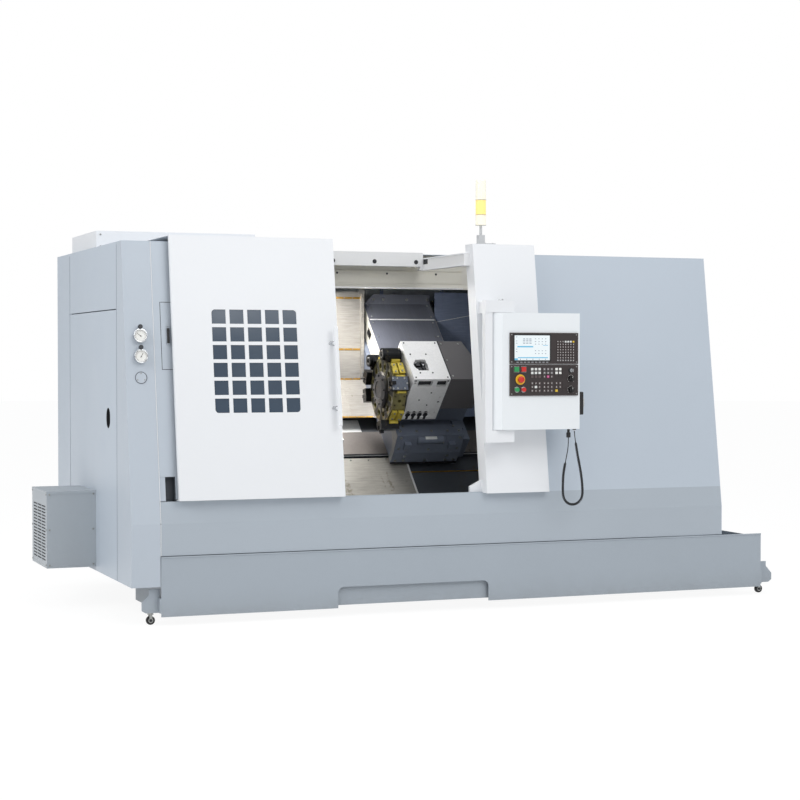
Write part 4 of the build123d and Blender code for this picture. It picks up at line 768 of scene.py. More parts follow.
# Telescopic covers either side of the saddle: a slope and an upright wall, in a moving and a fixed stage
cover_sheet = 3.0
moving_n, fixed_n = -430.0, -440.0
moving_wall, fixed_wall = 1576.0, 1586.0
moving_low_s, fixed_low_s = 495.0, 520.0
cover_wall_top = 2096.0
# The left covers wear the lit copy of the sheet, the right covers its painted shade copy.
way_covers = (
    ("way_cover_left", "carriage", moving_n, moving_wall, moving_low_s, 1380.0, 1879.0, "bright_sheet"),
    ("way_cover_right", "carriage", moving_n, moving_wall, moving_low_s, 2431.0, 2890.0, "shaded_sheet"),
    ("way_cover_left_inner", "machine", fixed_n, fixed_wall, fixed_low_s, 1150.0, 1670.0, "bright_sheet"),
    ("way_cover_right_inner", "machine", fixed_n, fixed_wall, fixed_low_s, 2835.0, 3298.0, "shaded_sheet"),
)


def way_cover(normal, wall, low_s, left, right):
    """Sheet bent once: up the slope at its height over the bed, then straight up."""
    foot = slant(low_s, normal)
    bend = (wall, foot[1] + wall - foot[0])
    outline = thickened([foot, bend, (wall, cover_wall_top)], cover_sheet)
    return at(on_right(left, 0, 0), extruded(outline, 0, right - left))


for name, body, normal, wall, low_s, left, right, finish in way_covers:
    piece(name, way_cover(normal, wall, low_s, left, right), finish, body, 0.8)

# Brass wiper strips of the left moving cover, its folded edge and its corner bracket
strip_left, strip_right = 1380.0, 1852.0
wiper_heights = (1676.0, 2043.0)
wiper_slopes = (moving_low_s, 868.0)
slope_place = on_bed(strip_left, 0.0, moving_n + cover_sheet)
wall_place = upright(strip_left, moving_wall - cover_sheet, 0.0)
strip_length = strip_right - strip_left
slope_strips = blocks([(0, strip_length, s, s + 14, 0, 3) for s in wiper_slopes])
wall_strips = blocks([(0, strip_length, z, z + 14, 0, 3) for z in wiper_heights])
wiper_strips = joined(at(slope_place, slope_strips), at(wall_place, wall_strips))
piece("wiper_strips_left", wiper_strips, "brass_strip", "carriage", 0.6)
strip_spots = [(x, z + 7) for z in wiper_heights for x in np.arange(30, strip_length, 64)]
slope_spots = [(x, s + 7) for s in wiper_slopes for x in np.arange(30, strip_length, 64)]
piece(
    "wiper_screws_left",
    joined(
        at(wall_place, repeated(at(flat_on(0, 0, 3), screw_head(4, 2.4, 12)), strip_spots)),
        at(slope_place, repeated(at(flat_on(0, 0, 3), screw_head(4, 2.4, 12)), slope_spots)),
    ),
    "zinc_plate", "carriage",
)
edge_channel = joined(
    plates(
        upright(1853, moving_wall - cover_sheet, 0),
        [(0, 4, 1480, 2108, 0, 14), (4, 26, 1480, 2108, 10, 14)],
    ),
    plates(upright(1836, moving_wall - cover_sheet - 14, 0), [(0, 43, 2078, 2116, 0, 5)]),
)
piece("cover_edge_channel", edge_channel, "bright_sheet", "carriage", 1.0)
piece(
    "cover_edge_screws",
    screws_at(upright(1868, moving_wall - 17, 0), [(0, z) for z in (1520, 1600, 1760, 1920, 2070)], 5),
    "zinc_plate", "carriage",
)
piece(
    "cover_joint_ledge",
    plates(on_bed(1700, 509, moving_n + cover_sheet), [(0, 3, 0, 354, 0, 2.5), (150, 153, 0, 354, 0, 2.5)]),
    "bright_sheet", "carriage",
)

# Sheets along the bed: a painted reflection strip, front guard and its edge with a painted highlight, rail
# seal and a painted highlight on the low way's edge
# Near white strip painted as the reflection on the bed's sheet. It ends at x 1765, where the shadow falls and
# the dark bed paint shows.
piece(
    "bed_reflection_strip", plates(on_bed(1150, 391, -500), [(0, 615, 0, 146, 0.5, 3.5)]), "polished_sheet",
    bevel=0.8,
)
guard = blocks([(0, 850, 0, 385, 0.3, 3.5)])
piece("front_guard", at(on_bed(1150, -235, -470), guard), "guard_sheet", bevel=0.8)
# The guard's edge is a real fold with a painted highlight on it.
guard_edge_highlight = blocks([(850, 862, -4, 385, 0.6, 9)])
piece("front_guard_edge_highlight", at(on_bed(1150, -235, -470), guard_edge_highlight), "polished_sheet", bevel=1.2)
piece("rail_seal", plates(on_bed(2014, 9, -470), [(0, 1276, 0, 9, 0.4, 4)]), "brass_strip", bevel=0.6)
piece(
    "guard_screws",
    screws_at(on_bed(1150, -235, -466), [(x, y) for x in range(60, 840, 130) for y in (16, 366)], 6, 4),
    "zinc_plate",
)
# Painted highlight along the low way's edge.
way_highlight_shape = blocks([(0, 2140, 0, 6, 0, 1.5)])
piece("way_edge_highlight", at(on_bed(1152, 168, -466), way_highlight_shape), "polished_sheet")

# Back wall: seams and screws of the liner's sheets, its corner angles and a painted highlight streak on the
# right cover's fold
back_face = upright(0, 1880, 0)
seam_places = (1640.0, 2120.0, 2600.0, 3080.0)
# The seams wear the painted shade copy of the sheet.
piece(
    "liner_seams", plates(back_face, [(x, x + 26, 1690, 2230, 0.5, 2.5) for x in seam_places]),
    "shaded_sheet", bevel=0.6,
)
piece(
    "liner_screws",
    screws_at(
        upright(0, 1877.5, 0), [(x + 13, z) for x in seam_places for z in range(1720, 2230, 100)], 6, 4
    ),
    "zinc_plate",
)
piece(
    "liner_corner_angles",
    joined(
        plates(flat_on(1150.5, 1850, 1660), [(0, 3, 0, 28, 0, 560)]),
        plates(flat_on(3296, 1850, 1660), [(0, 3, 0, 28, 0, 560)]),
    ),
    "bright_sheet", bevel=0.6,
)
# Near white streak painted as the highlight on the right cover's fold.
piece(
    "cover_fold_highlight",
    plates(
        Place((2442, moving_wall - cover_sheet, 1883), (310, 0, 56), (-56, 0, 310)),
        [(0, 445, -1.5, 1.5, 0.0, 1.2)],
    ),
    "polished_sheet", "carriage",
)


# Roof frame: folded bands, a painted highlight on the lip and bolts of the header, lintel bolts and painted
# shade in the recess at the side beam's end
header_y = 1100.0
bands = [(1152, 2440, 2228, 2330, 0, 2), (1152, 2440, 2140, 2222, 0, 5), (1152, 2440, 2222, 2226, 0, 9)]
header_face = upright(0, header_y - 0.5, 0)
piece("header_bands", plates(header_face, bands), "cream_paint", bevel=1.0)
# Painted highlight along the header's lip.
piece(
    "header_lip_highlight", plates(upright(0, header_y - 26.5, 0), [(1152, 2440, 2100, 2111, 0, 3)]),
    "polished_sheet", bevel=0.8,
)
header_spots = [(x, 2205) for x in (1509, 1875, 2242)]
lintel_spots = [(x, 2280) for x in (1430, 1730, 2035)]
piece(
    "frame_bolts",
    joined(
        screws_at(upright(0, header_y - 5.5, 0), header_spots, 7, 5),
        at(upright(0, 950, 0), repeated(hex_head(11, 9), lintel_spots)),
    ),
    "dark_bolt",
)
beam_left_face = on_left(0, 0, 2093)
# Dark plate painted as the shade in the recess at the beam's end.
piece("beam_end_shade", plates(beam_left_face, [(-966, -880, 2266, 2304, 0.3, 1.5)]), "shadow_grey")
piece(
    "beam_flanges",
    plates(beam_left_face, [(-948, -256, 2300, 2308, 0, 6), (-948, -256, 2225, 2233, 0, 6)]),
    "white_paint", bevel=0.8,
)

# Hood: a painted highlight strip on its fold, end plate bolts and the pale side plates
hood_left, hood_right = 1915.0, 2430.0
# Near white strip painted as the highlight on the hood's fold.
piece(
    "hood_fold_highlight", plates(on_bed(hood_left + 8, 1166, -119), [(0, 500, 0, 9, 0, 3)]), "polished_sheet",
    "carriage", 0.8,
)
end_plate_y = 1667.5
piece(
    "hood_bolts",
    joined(
        at(
            upright(0, end_plate_y, 0),
            repeated(hex_head(8, 8), [(x, 2046) for x in (1990, 2068, 2248, 2412)]),
        ),
        screws_at(on_bed(hood_left, 0, -112), [(x, s) for x in (26, 489) for s in (1196, 1310)], 6, 4),
        screws_at(on_bed(hood_left, 0, -119), [(x, s) for x in (26, 489) for s in (860, 1000, 1140)], 6, 4),
    ),
    "zinc_plate", "carriage",
)
side_outline = [(838, -121), (1175, -121), (1175, -114), (1333, -114), (1333, -262), (838, -262)]
side_plates = joined(
    at(section_place(hood_left - 3.5), extruded(side_outline, 0, 3)),
    at(section_place(hood_right + 0.5), extruded(side_outline, 0, 3)),
)
piece("hood_side_plates", side_plates, "cream_paint", "carriage", 0.8)
piece(
    "hood_side_catch",
    plates(
        section_place(hood_left - 6), [(1046, 1120, -200, -150, 0, 2.5), (1060, 1106, -190, -160, -8, 0)]
    ),
    "black_plastic", "carriage", 1.0,
)

# Turret housing: dark plates painted as the shade in its openings and between its tabs, the valve inside the
# window, screws and the row of white tabs
turret_left, turret_low, turret_front = 1870.0, 172.0, 288.0
turret_top = on_bed(turret_left, turret_low, turret_front)
turret_under = Place((turret_left, *slant(turret_low, turret_front)), (1, 0, 0), (0, -1, 1))
arc = np.linspace(np.pi * 0.72, np.pi * 1.28, 15)
window_outline = np.vstack(
    [[(130, 185), (84, 185)], np.c_[85 + 50 * np.cos(arc), 135 + 50 * np.sin(arc)], [(84, 85), (130, 85)]]
)
# Dark plate painted as the shade deep inside the window.
piece(
    "turret_window_shade", at(turret_top, extruded(window_outline, -29.5, -27)), "shadow_grey", "cross_slide"
)
valve_parts = joined(
    blocks([(96, 112, 92, 178, -27, -12), (58, 92, 104, 128, -27, -16), (60, 88, 140, 168, -27, -14)]),
    at(flat_on(104, 150, -12), disc_shape(11, 0, 7, 20)),
    at(flat_on(104, 116, -12), disc_shape(9, 0, 5, 20)),
)
piece("turret_window_valve", at(turret_top, valve_parts), "dark_bolt", "cross_slide", 1.2)
valve_post = at(flat_on(104, 140, -20), revolved([(0, 0), (6, 0), (6, 16), (4, 18), (0, 18)], 20))
piece("turret_valve_post", at(turret_top, valve_post), "chrome_plate", "cross_slide", smooth=True)
# Dark plates painted as the shade deep in the pockets, scallops and holes under the housing.
pocket_blocks = blocks([(x0 + 1, x1 - 1, -72, -19, -24.6, -20) for x0, x1 in ((39, 142), (175, 251))])
scallop_spots = [(47 + 43 * i, -326, -21.6) for i in range(4)]
hole_spots = ((20, -43, 7.6), (238, -178, 6.6), (237, -224, 10.6), (236, -321, 6.6))
shade_fills = [pocket_blocks, repeated(disc_shape(15.6, 0, 3, 24), scallop_spots)]
shade_fills += [repeated(disc_shape(radius, 0, 2, 20), [(x, y, -11.6)]) for x, y, radius in hole_spots]
piece("turret_under_shade", at(turret_under, joined(*shade_fills)), "shadow_grey", "cross_slide")
tab_blocks = blocks([(14 + 43 * i, 38 + 43 * i, -387, -362, 0, 4) for i in range(5)])
gap_blocks = blocks([(38 + 43 * i, 57 + 43 * i, -387, -348, 0, 1.5) for i in range(4)])
piece(
    "turret_under_tabs", at(turret_under, tab_blocks), "turret_light", "cross_slide", 1.5,
)
# Dark strips painted as the shade in the gaps between the tabs.
piece("turret_under_gap_shade", at(turret_under, gap_blocks), "shadow_grey", "cross_slide")
# Dark discs painted as the shade of the scallops above the tabs.
scallops = repeated(disc_shape(18, 0, 0.9, 24), [(47.5 + 43 * i, -346, 0) for i in range(4)])
piece("turret_under_scallop_shade", at(turret_under, scallops), "shadow_grey", "cross_slide")
top_spots = [(18, 18), (247, 18), (18, 345), (247, 345), (36, 236), (60, 60), (150, 60), (150, 236)]
piece("turret_top_screws", screws_at(turret_top, top_spots, 5.5, 3), "dark_bolt", "cross_slide")
piece(
    "turret_under_screws",
    screws_at(
        turret_under, [(16, -16), (249, -16), (16, -376), (160, -130), (90, -200), (160, -250)], 5.5, 3
    ),
    "dark_bolt", "cross_slide",
)
drive_top = on_bed(2135, turret_low, turret_front)
drive_spots = [(24, 30), (24, 180), (24, 335), (150, 335), (221, 30), (221, 110)]
piece("drive_cover_screws", screws_at(drive_top, drive_spots, 6, 4), "zinc_plate", "cross_slide")
piece("drive_cover_seam", plates(drive_top, [(0.5, 7, 2, 361, 0, 1.5)]), "shadow_grey", "cross_slide")
slide_spots = [(x, s) for x in (40, 250, 460) for s in (560, 640, 720, 800)]
piece(
    "cross_slide_screws", screws_at(on_bed(1922, 0, -125), slide_spots, 10, 1.5), "dark_bolt", "cross_slide"
)

# Turret disc: seal ring at the housing, hub cap, painted shade in the recesses, and the stations' wedges,
# pads, screws, sleeves and a painted sheen on two holder tops
turret_y, turret_z = slant(355.0, 0.0)
disc_left = 1765.0
disc_flat = 215.0
holder_top, ring_reach = 275.0, 258
housing_face = 1857
first_station = 20.0
stations = 12


def station_place(index, reach):
    """Place on a station's flat at a reach from the axis: right is x, out is away from the axis."""
    turn = math.radians(first_station + 360.0 / stations * index)
    out = (-math.sin(turn), math.cos(turn))
    origin = (disc_left, turret_y + out[0] * reach, turret_z + out[1] * reach)
    return Place(origin, (1, 0, 0), (0, out[1], -out[0]))


piece(
    "turret_seal_ring", at(on_right(housing_face, turret_y, turret_z), band_shape(120, 220, 0, 9, 64)),
    "black_plastic", "turret", 0.8,
)
hub_out = on_left(turret_y, turret_z, disc_left - 18)
hub_spots = spots_round(96, 45)
cap_rows = [(0, 0), (112, 0), (112, 3), (64, 9), (60, 5), (0, 5)]
piece("hub_cap", at(hub_out, revolved(cap_rows, 64)), "hub_grey", "turret")
hub_bolts = repeated(hex_head(7, 9), np.c_[hub_spots, np.full(8, 3.0)])
piece("hub_screws", at(hub_out, hub_bolts), "dark_bolt", "turret")
sector = np.array([(-11, 124), (11, 124), (26, 208), (-26, 208)])


def disc_sectors():
    """Dark plates painted as the shade in the recesses between the stations on the disc's left face, one
    outline turned to each.
    """
    parts = []
    for index in range(stations):
        turn = math.radians(first_station + 360.0 / stations * (index + 0.5))
        up = (0, -math.sin(turn), math.cos(turn))
        place = Place((disc_left, turret_y, turret_z), np.cross(up, (-1, 0, 0)), up)
        parts.append(at(place, extruded(sector, 0.2, 1.4)))
    return joined(*parts)


# Painted shade between the stations.
piece("disc_gap_shade", disc_sectors(), "shadow_olive", "turret")
block_stations = (2, 5, 8, 9)
ring_stations = (0, 10)
wedge_shape = blocks([(18, 80, 47, 62, 0, 26), (18, 80, -62, -47, 0, 26)])
wedges = [at(station_place(index, disc_flat), wedge_shape) for index in block_stations + ring_stations]
piece("holder_wedges", joined(*wedges), "gold_zinc", "turret", 1.5)
pad_shape = blocks([(8, 44, -44, 44, 0, 16), (52, 92, -44, 44, 0, 22), (8, 92, -10, 10, 0, 9)])
pads = [at(station_place(index, disc_flat), pad_shape) for index in (1, 11, 4, 7)]
piece("station_pads", joined(*pads), "gold_zinc", "turret", 2.0)
pad_spots = [(26, -28, 16), (26, 28, 16), (72, -28, 22), (72, 28, 22)]
holder_spots = [(-24, -34), (-24, 34), (8, -34), (8, 34), (60, -34), (60, 34), (78, 0)]
screw_sets = [at(station_place(i, disc_flat), repeated(screw_head(7, 5), pad_spots)) for i in (1, 11, 4, 7)]
screw_sets += [
    at(station_place(i, holder_top), repeated(screw_head(6, 4), holder_spots)) for i in block_stations
]
piece("holder_screws", joined(*screw_sets), "zinc_plate", "turret")
# Grey-blue plates painted as the sheen on the top faces of the two holders that face the light.
holder_sheen_faces = blocks([(-30, 84, -45.5, 45.5, 59.6, 60.8)])
piece(
    "holder_top_sheen", joined(*[at(station_place(index, disc_flat), holder_sheen_faces) for index in (2, 5)]),
    "holder_grey", "turret", 0.6,
)
ring_turns = np.radians(first_station + 360.0 / stations * np.array(ring_stations))
ring_centres = np.stack(
    [turret_y - ring_reach * np.sin(ring_turns), turret_z + ring_reach * np.cos(ring_turns)], axis=1
)
sleeve = band_shape(20, 26, -88, 1.5, 32)
sleeves = [at(on_left(*centre, disc_left - 38), sleeve) for centre in ring_centres]
piece("ring_holder_sleeves", joined(*sleeves), "chrome_plate", "turret")

# Saddle apron: bolts, a painted highlight along the top of its cap, the rings of its cap, a paler left face
# painted as light, and its wiper
apron_left = 1870.0
apron_edge, apron_bend = np.array(slant(114, -203)), np.array(slant(81, -346))
apron_front = Place((apron_left, *apron_edge), (1, 0, 0), (0, *(apron_edge - apron_bend)))
apron_lower = Place((apron_left, *slant(81, -346)), (1, 0, 0), (0, -1, 1))
apron_crown = on_bed(apron_left, 114, -203)
crown_spots = [(x, 40) for x in (30, 150, 260, 380, 465)] + [(x, 84) for x in (60, 435)]
front_spots = [(30, -20), (465, -20), (30, -110), (465, -110), (250, -118)]
lower_spots = [(90, -30), (90, -74), (405, -30), (405, -74), (30, -74), (465, -74), (250, -74)]
piece(
    "apron_bolts",
    joined(
        at(apron_crown, repeated(hex_head(7, 7), crown_spots)),
        at(apron_front, repeated(hex_head(7, 7), front_spots)),
        at(apron_lower, repeated(hex_head(8, 8), lower_spots)),
    ),
    "zinc_plate", "carriage",
)
cap_y, cap_z = slant(110, -243)
# White sliver painted as the highlight along the top of the cap.
angles = np.linspace(0.1, 0.75, 8)
cap_arc = np.c_[np.cos(angles), np.sin(angles)]
cap_outline = np.vstack([30.5 * cap_arc, 32.5 * cap_arc[::-1]])
cap_highlight_shell = at(on_left(cap_y, cap_z, 2075), extruded(cap_outline, -85, 0))
piece("apron_cap_highlight", cap_highlight_shell, "white_key", "carriage")
cap_ring = band_shape(29, 33, -8, 0, 40)
cap_rings = [at(on_left(cap_y, cap_z, x), cap_ring) for x in (2030, 2215)]
piece("apron_cap_rings", joined(*cap_rings), "saddle_iron", "carriage", 1.0)
# Paler plate painted as the light falling on the apron's left face.
apron_outline = [
    (214, -268), (214, -205), (115, -205), (83, -346), (83, -438), (128, -438), (128, -350), (150, -300)
]
apron_left_lit_face = at(section_place(apron_left - 2), extruded(apron_outline, 0, 1.6))
piece("apron_left_lit_face", apron_left_lit_face, "apron_pale", "carriage")
wiper = plates(on_bed(1870, 128, -452), [(0, 495, -52, -44, 0, 14)])
piece("apron_wiper", wiper, "black_plastic", "carriage", 1.0)

# Chuck and tailstock
chuck_face = on_right(1280, spindle_y, spindle_z)
chuck_spots = spots_round(150, 60, 30)
piece("chuck_screws", at(chuck_face, repeated(screw_head(11, 4), chuck_spots)), "dark_bolt", "spindle")
groove_rows = ((1148, 1152), (1262, 1266))
groove_bands = [band_shape(186, 191, low, high, 72) for low, high in groove_rows]
piece(
    "chuck_bands", at(on_right(0, spindle_y, spindle_z), joined(*groove_bands)), "ground_steel", "spindle",
    0.6,
)
quill_ring = at(on_right(2896, spindle_y, spindle_z), band_shape(56, 78, 0, 4, 48))
piece("quill_wiper_ring", quill_ring, "black_plastic", "tailstock")
tail_spots = [(x, s) for x in (40, 300) for s in (-44, 44)]
piece("tailstock_screws", screws_at(on_bed(2900, 0, 81.5), tail_spots, 9, 6), "dark_bolt", "tailstock")


# Sliding door: handle bolts and feet, and the folded lips behind its window bars
lean_scale = math.sqrt(1 + lean_slope**2)
front_middle = 1500
door_face = on_front(0, front_middle, door_stand_off)
door_bolts = repeated(hex_head(9, 7), [(1118, 211 * lean_scale), (1118, -195 * lean_scale)])
piece("door_handle_bolts", at(door_face, door_bolts), "chrome_plate", "sliding_door")
handle_feet = repeated(band_shape(9.2, 15, 0, 4, 28), [(1139, 211 * lean_scale), (1139, -195 * lean_scale)])
piece("door_handle_feet", at(door_face, handle_feet), "chrome_plate", "sliding_door")
window_left, window_right, window_bottom, window_top = 353.0, 901.0, 1281.0, 1919.0
hole_width, hole_height, bar_width, bar_height = 90.0, 88.0, 24.5, 21.5


def window_lips():
    """Folded lips behind both edges of every bar of the door's window, upright and level."""
    low, high = ((height - front_middle) * lean_scale for height in (window_bottom, window_top))
    x = window_left + np.arange(1, 5) * (hole_width + bar_width) - bar_width
    z = low + np.arange(1, 6) * (hole_height + bar_height) * lean_scale - bar_height * lean_scale
    upright_lips = [(side, side + 2, low, high, -12, -4.2) for side in np.r_[x + 1, x + bar_width - 3]]
    level_sides = np.r_[z + 1, z + bar_height - 3]
    level_lips = [(window_left, window_right, side, side + 2, -12, -4.2) for side in level_sides]
    return plates(door_face, upright_lips + level_lips)


piece("window_bar_lips", window_lips(), "white_paint", "sliding_door")

# Left covers: painted shade in the hand pocket and the pull cup, hatch latch, seams with a painted highlight
# strip on the front seam, and the blank cap's ring
pocket_place = on_front(0, 830)
# Grey sheets painted as the shade inside the hand pocket.
pocket_sheets = [(3, 100, -70, 72, -56, -54), (3, 5, -70, 72, -54, -4.5), (98, 100, -70, 72, -54, -4.5)]
pocket_sheets.append((5, 98, 68, 71, -54, -4.5))
piece("hand_pocket_shade", plates(pocket_place, pocket_sheets), "pocket_grey")
latch_place = on_front(89, 1755)
latch_parts = joined(
    blocks([(-11, 11, -55, 56, 0.5, 5), (-8, 8, -46, 46, 5, 12)]),
    repeated(screw_head(3, 2), [(0, -51, 5), (0, 52, 5)]),
)
piece("hatch_latch", at(latch_place, latch_parts), "black_plastic", bevel=1.2)
hatch_height, hatch_width = 415 * lean_scale, 420
hatch_lines = [(0, 3, 0, hatch_height, 0.1, 0.6), (hatch_width - 3, hatch_width, 0, hatch_height, 0.1, 0.6)]
hatch_lines += [
    (0, hatch_width, 0, 3, 0.1, 0.6), (0, hatch_width, hatch_height - 3, hatch_height, 0.1, 0.6)
]
piece("hatch_lines", plates(on_front(44, 1548), hatch_lines), "shadow_grey")
seam_low, seam_high = ((height - front_middle) * lean_scale for height in (620, 2337))
# White strip painted as the bright line at the seam of the two left covers.
seam_highlight = joined(
    plates(on_front(0, front_middle), [(-2, 2, seam_low, seam_high, 0.2, 1.2)]),
    plates(upright(0, 5, 0), [(-2, 2, 424, 616, 0.2, 1.2)]),
)
piece("front_cover_seam_highlight", seam_highlight, "white_paint")
side_seams = [(-391.5, -388.5, 240, 2320, 0.1, 0.8), (-1842.5, -1839.5, 240, 2320, 0.1, 0.8)]
piece("side_panel_seams", plates(on_left(0, 0), side_seams), "seam_blue")


def sleeve(outline, share, low, high):
    """Wall along an outline from low to high, as thick as the step to its copy scaled by the share."""
    count = len(outline)
    edges = ((1.0, low), (1.0, high), (share, high), (share, low))
    points = np.vstack([np.c_[outline * scale, np.full(count, height)] for scale, height in edges])
    i, j = np.meshgrid(np.arange(4), np.arange(count), indexing="ij")
    k, after = (j + 1) % count, (i + 1) % 4
    faces = np.stack([i * count + j, i * count + k, after * count + k, after * count + j], axis=-1)
    return points, faces.reshape(-1, 4).tolist()


cup_angles = np.linspace(-np.pi / 2, np.pi / 2, 13)
cup_top = np.c_[54.2 * np.cos(cup_angles + np.pi / 2), 10 + 54.2 * np.sin(cup_angles + np.pi / 2)]
cup_outline = np.vstack([cup_top, -cup_top])
# Dark lining painted as the shade inside the pull cup.
cup_shade = joined(extruded(cup_outline, -21.8, -20.9), sleeve(cup_outline, 0.98, -20.8, -0.6))
piece("pull_cup_shade", at(on_left(635, 1242), cup_shade), "shadow_grey")
piece("blank_cap_ring", at(on_front(-88, 1500), ring(35.5, 1.6, 48, 8, 2.2)), "shadow_grey", smooth=True)
cap_screws = repeated(screw_head(4, 2), [(0, 26, 2), (22, -13, 2), (-22, -13, 2)])
piece("blank_cap_screws", at(on_front(-88, 1500), cap_screws), "zinc_plate")

# Pressure gauges: dial, ticks, needle, bezel and the knurled cap of each regulator
gauge_x = -88.0
dial_out = 26.0
regulator_rise = 56


def turned_bars(turns, low, high, width, thickness, base=0.0):
    """Narrow bars that point away from the middle, one at each turn from the up direction."""
    bars = []
    for turn, length in turns:
        along, across = (math.sin(turn), math.cos(turn), 0), (math.cos(turn), -math.sin(turn), 0)
        bar = blocks([(-width / 2, width / 2, high - (high - low) * length, high, base, base + thickness)])
        bars.append(at(Place((0, 0, 0), across, along), bar))
    return joined(*bars)


dial_turns = [(math.radians(-135 + 13.5 * i), 1.0 if i % 5 == 0 else 0.55) for i in range(21)]
cap_profile = [(0, 0), (13, 0), (13, 12), (11.5, 14), (0, 14)]
regulator_cap = joined(
    revolved(cap_profile, 24), repeated(blocks([(-1, 1, -1, 1, 1, 12)]), spots_round(13.2, 20))
)
for number, (height, needle_turn) in enumerate(((1754.0, -0.9), (1629.0, 0.5)), 1):
    dial_place = on_front(gauge_x, height, dial_out)
    piece(f"gauge_dial_{number}", at(dial_place, disc_shape(35.6, -0.5, 0.6, 48)), "dial_white")
    ticks = turned_bars(dial_turns, 25.0, 32.0, 1.1, 0.4, 0.6)
    piece(f"gauge_ticks_{number}", at(dial_place, ticks), "needle_black")
    needle = joined(
        turned_bars([(needle_turn, 1.0)], -9.0, 26.0, 2.0, 0.8, 1.4), disc_shape(3.2, 0.6, 2.8, 20)
    )
    piece(f"gauge_needle_{number}", at(dial_place, needle), "needle_black")
    bezel_ring = ring(38.6, 3.2, 56, 12, 3.6)
    piece(f"gauge_bezel_{number}", at(dial_place, bezel_ring), "chrome_plate", smooth=True)
    piece(
        f"regulator_cap_{number}", at(on_front(gauge_x, height + regulator_rise, dial_out), regulator_cap),
        "dark_bolt", bevel=0.5,
    )

# Control pendant: frames, screen, keys, rings and marks of the units, back cover and the hinge's cap
unit_left, unit_right, unit_face = 2213.0, 2695.0, -208.0
display_top, operator_top, unit_tall = 1781.0, 1577.0, 198.0
face_place = upright(0, unit_face, 0)


def unit_frame(top):
    """Narrow raised frame round one unit."""
    low, edge = top - unit_tall, 5.0
    bars = [(unit_left, unit_right, z, z + edge, 0, 1.6) for z in (low, top - edge)]
    bars.append((unit_left, unit_left + edge, low + edge, top - edge, 0, 1.6))
    bars.append((unit_right - edge, unit_right, low + edge, top - edge, 0, 1.6))
    return blocks(bars)


frames = joined(unit_frame(display_top), unit_frame(operator_top))
piece("unit_frames", at(face_place, frames), "unit_edge", "pendant", 0.5)
corner_heights = [top - inset for top in (display_top, operator_top) for inset in (12, unit_tall - 12)]
corner_spots = [(x, z) for x in (unit_left + 12, unit_right - 12) for z in corner_heights]
piece("unit_screws", screws_at(face_place, corner_spots, 4.5, 2.5), "zinc_plate", "pendant")
screen_place = upright(2245, -205, 1605)
piece("screen_field", plates(screen_place, [(1, 249, 1, 159, 0.2, 0.8)]), "screen_white", "pendant")
blue_fields = [(20, 132, 83, 91), (24, 236, 14, 20), (1, 24, 2, 13), (200, 236, 94, 97)]
screen_bars = plates(screen_place, [(*field, 0.8, 1.1) for field in blue_fields])
piece("screen_bars", screen_bars, "screen_blue", "pendant")
readout = [(60 + 22 * i, 76 + 22 * i, z, z + 4, 0.8, 1.1) for z in (134, 122, 108) for i in range(3)]
readout += [
    (144 + 24 * i, 152 + 24 * i, z, z + 3, 0.8, 1.1) for z in (136, 118, 102, 60, 42) for i in range(4)
]
readout += [(12, 20, z, z + 3, 0.8, 1.1) for z in (148, 122, 108, 70, 54)]
readout += [(40 + 44 * i, 44 + 44 * i, 4, 10, 0.8, 1.1) for i in range(5)]
piece("screen_readout", plates(screen_place, readout), "screen_dark", "pendant")
bezel_bars = [(-7, 257, -7, 0, 3, 4.4), (-7, 257, 160, 167, 3, 4.4)]
bezel_bars += [(-7, 0, 0, 160, 3, 4.4), (250, 257, 0, 160, 3, 4.4)]
piece("screen_bezel", plates(screen_place, bezel_bars), "black_plastic", "pendant", 0.5)
display_keys = [
    (unit_left + 336 + 18.5 * i, display_top - 56 - 17.2 * j) for j in range(8) for i in range(7)
]
soft_keys = [(unit_left + 52 + 26 * i, display_top - unit_tall + 10) for i in range(9)]
key_group_left = {"left": 146, "middle": 232, "right": 318}
upper_drop, lower_drop = 28, 118


def operator_keys(group, drop, columns=(0, 1, 2), rows=(0, 1, 2)):
    """Centres of some keys in one group of the lower unit."""
    left = unit_left + key_group_left[group] + 9
    return [(left + 26 * i, operator_top - drop - 24 * j) for j in rows for i in columns]


white_keys = operator_keys("left", upper_drop, rows=(0, 1)) + operator_keys("left", lower_drop, (1,), (1,))
brown_keys = operator_keys("left", upper_drop, rows=(2,)) + operator_keys("left", lower_drop, rows=(0, 2))
brown_keys += operator_keys("left", lower_drop, (0, 2), (1,)) + operator_keys("middle", lower_drop)
brown_keys += operator_keys("middle", upper_drop, (0, 2), (2,))
brown_keys += operator_keys("right", lower_drop, (0, 1), (0, 1))
key_caps = (
    ("display_keys_white", display_keys[3:6], 12.5, 11, "white_key"),
    ("display_keys_yellow", display_keys[6:7], 12.5, 11, "yellow_key"),
    ("display_keys_brown", display_keys[:3] + display_keys[7:49], 12.5, 11, "key_brown"),
    ("display_keys_grey", display_keys[49:], 12.5, 11, "unit_grey"),
    ("soft_keys", soft_keys, 16.5, 7.5, "grey_key"),
    ("operator_keys_white", white_keys, 17.5, 15.5, "white_key"),
    ("operator_keys_grey", operator_keys("middle", upper_drop, rows=(0, 1)), 17.5, 15.5, "unit_grey"),
    ("operator_keys_pale", operator_keys("right", upper_drop, (0, 1), (0, 1)), 17.5, 15.5, "dial_white"),
    ("operator_key_magenta", operator_keys("middle", upper_drop, (1,), (2,)), 17.5, 15.5, "magenta_key"),
    ("operator_key_yellow", operator_keys("right", lower_drop, (0,), (2,)), 17.5, 15.5, "yellow_key"),
    ("operator_keys_brown", brown_keys, 17.5, 15.5, "key_brown"),
)
for name, centres, width, height, material in key_caps:
    piece(name, at(upright(0, -210, 0), tiles(centres, width, height, 0.1, 1.6)), material, "pendant", 0.6)
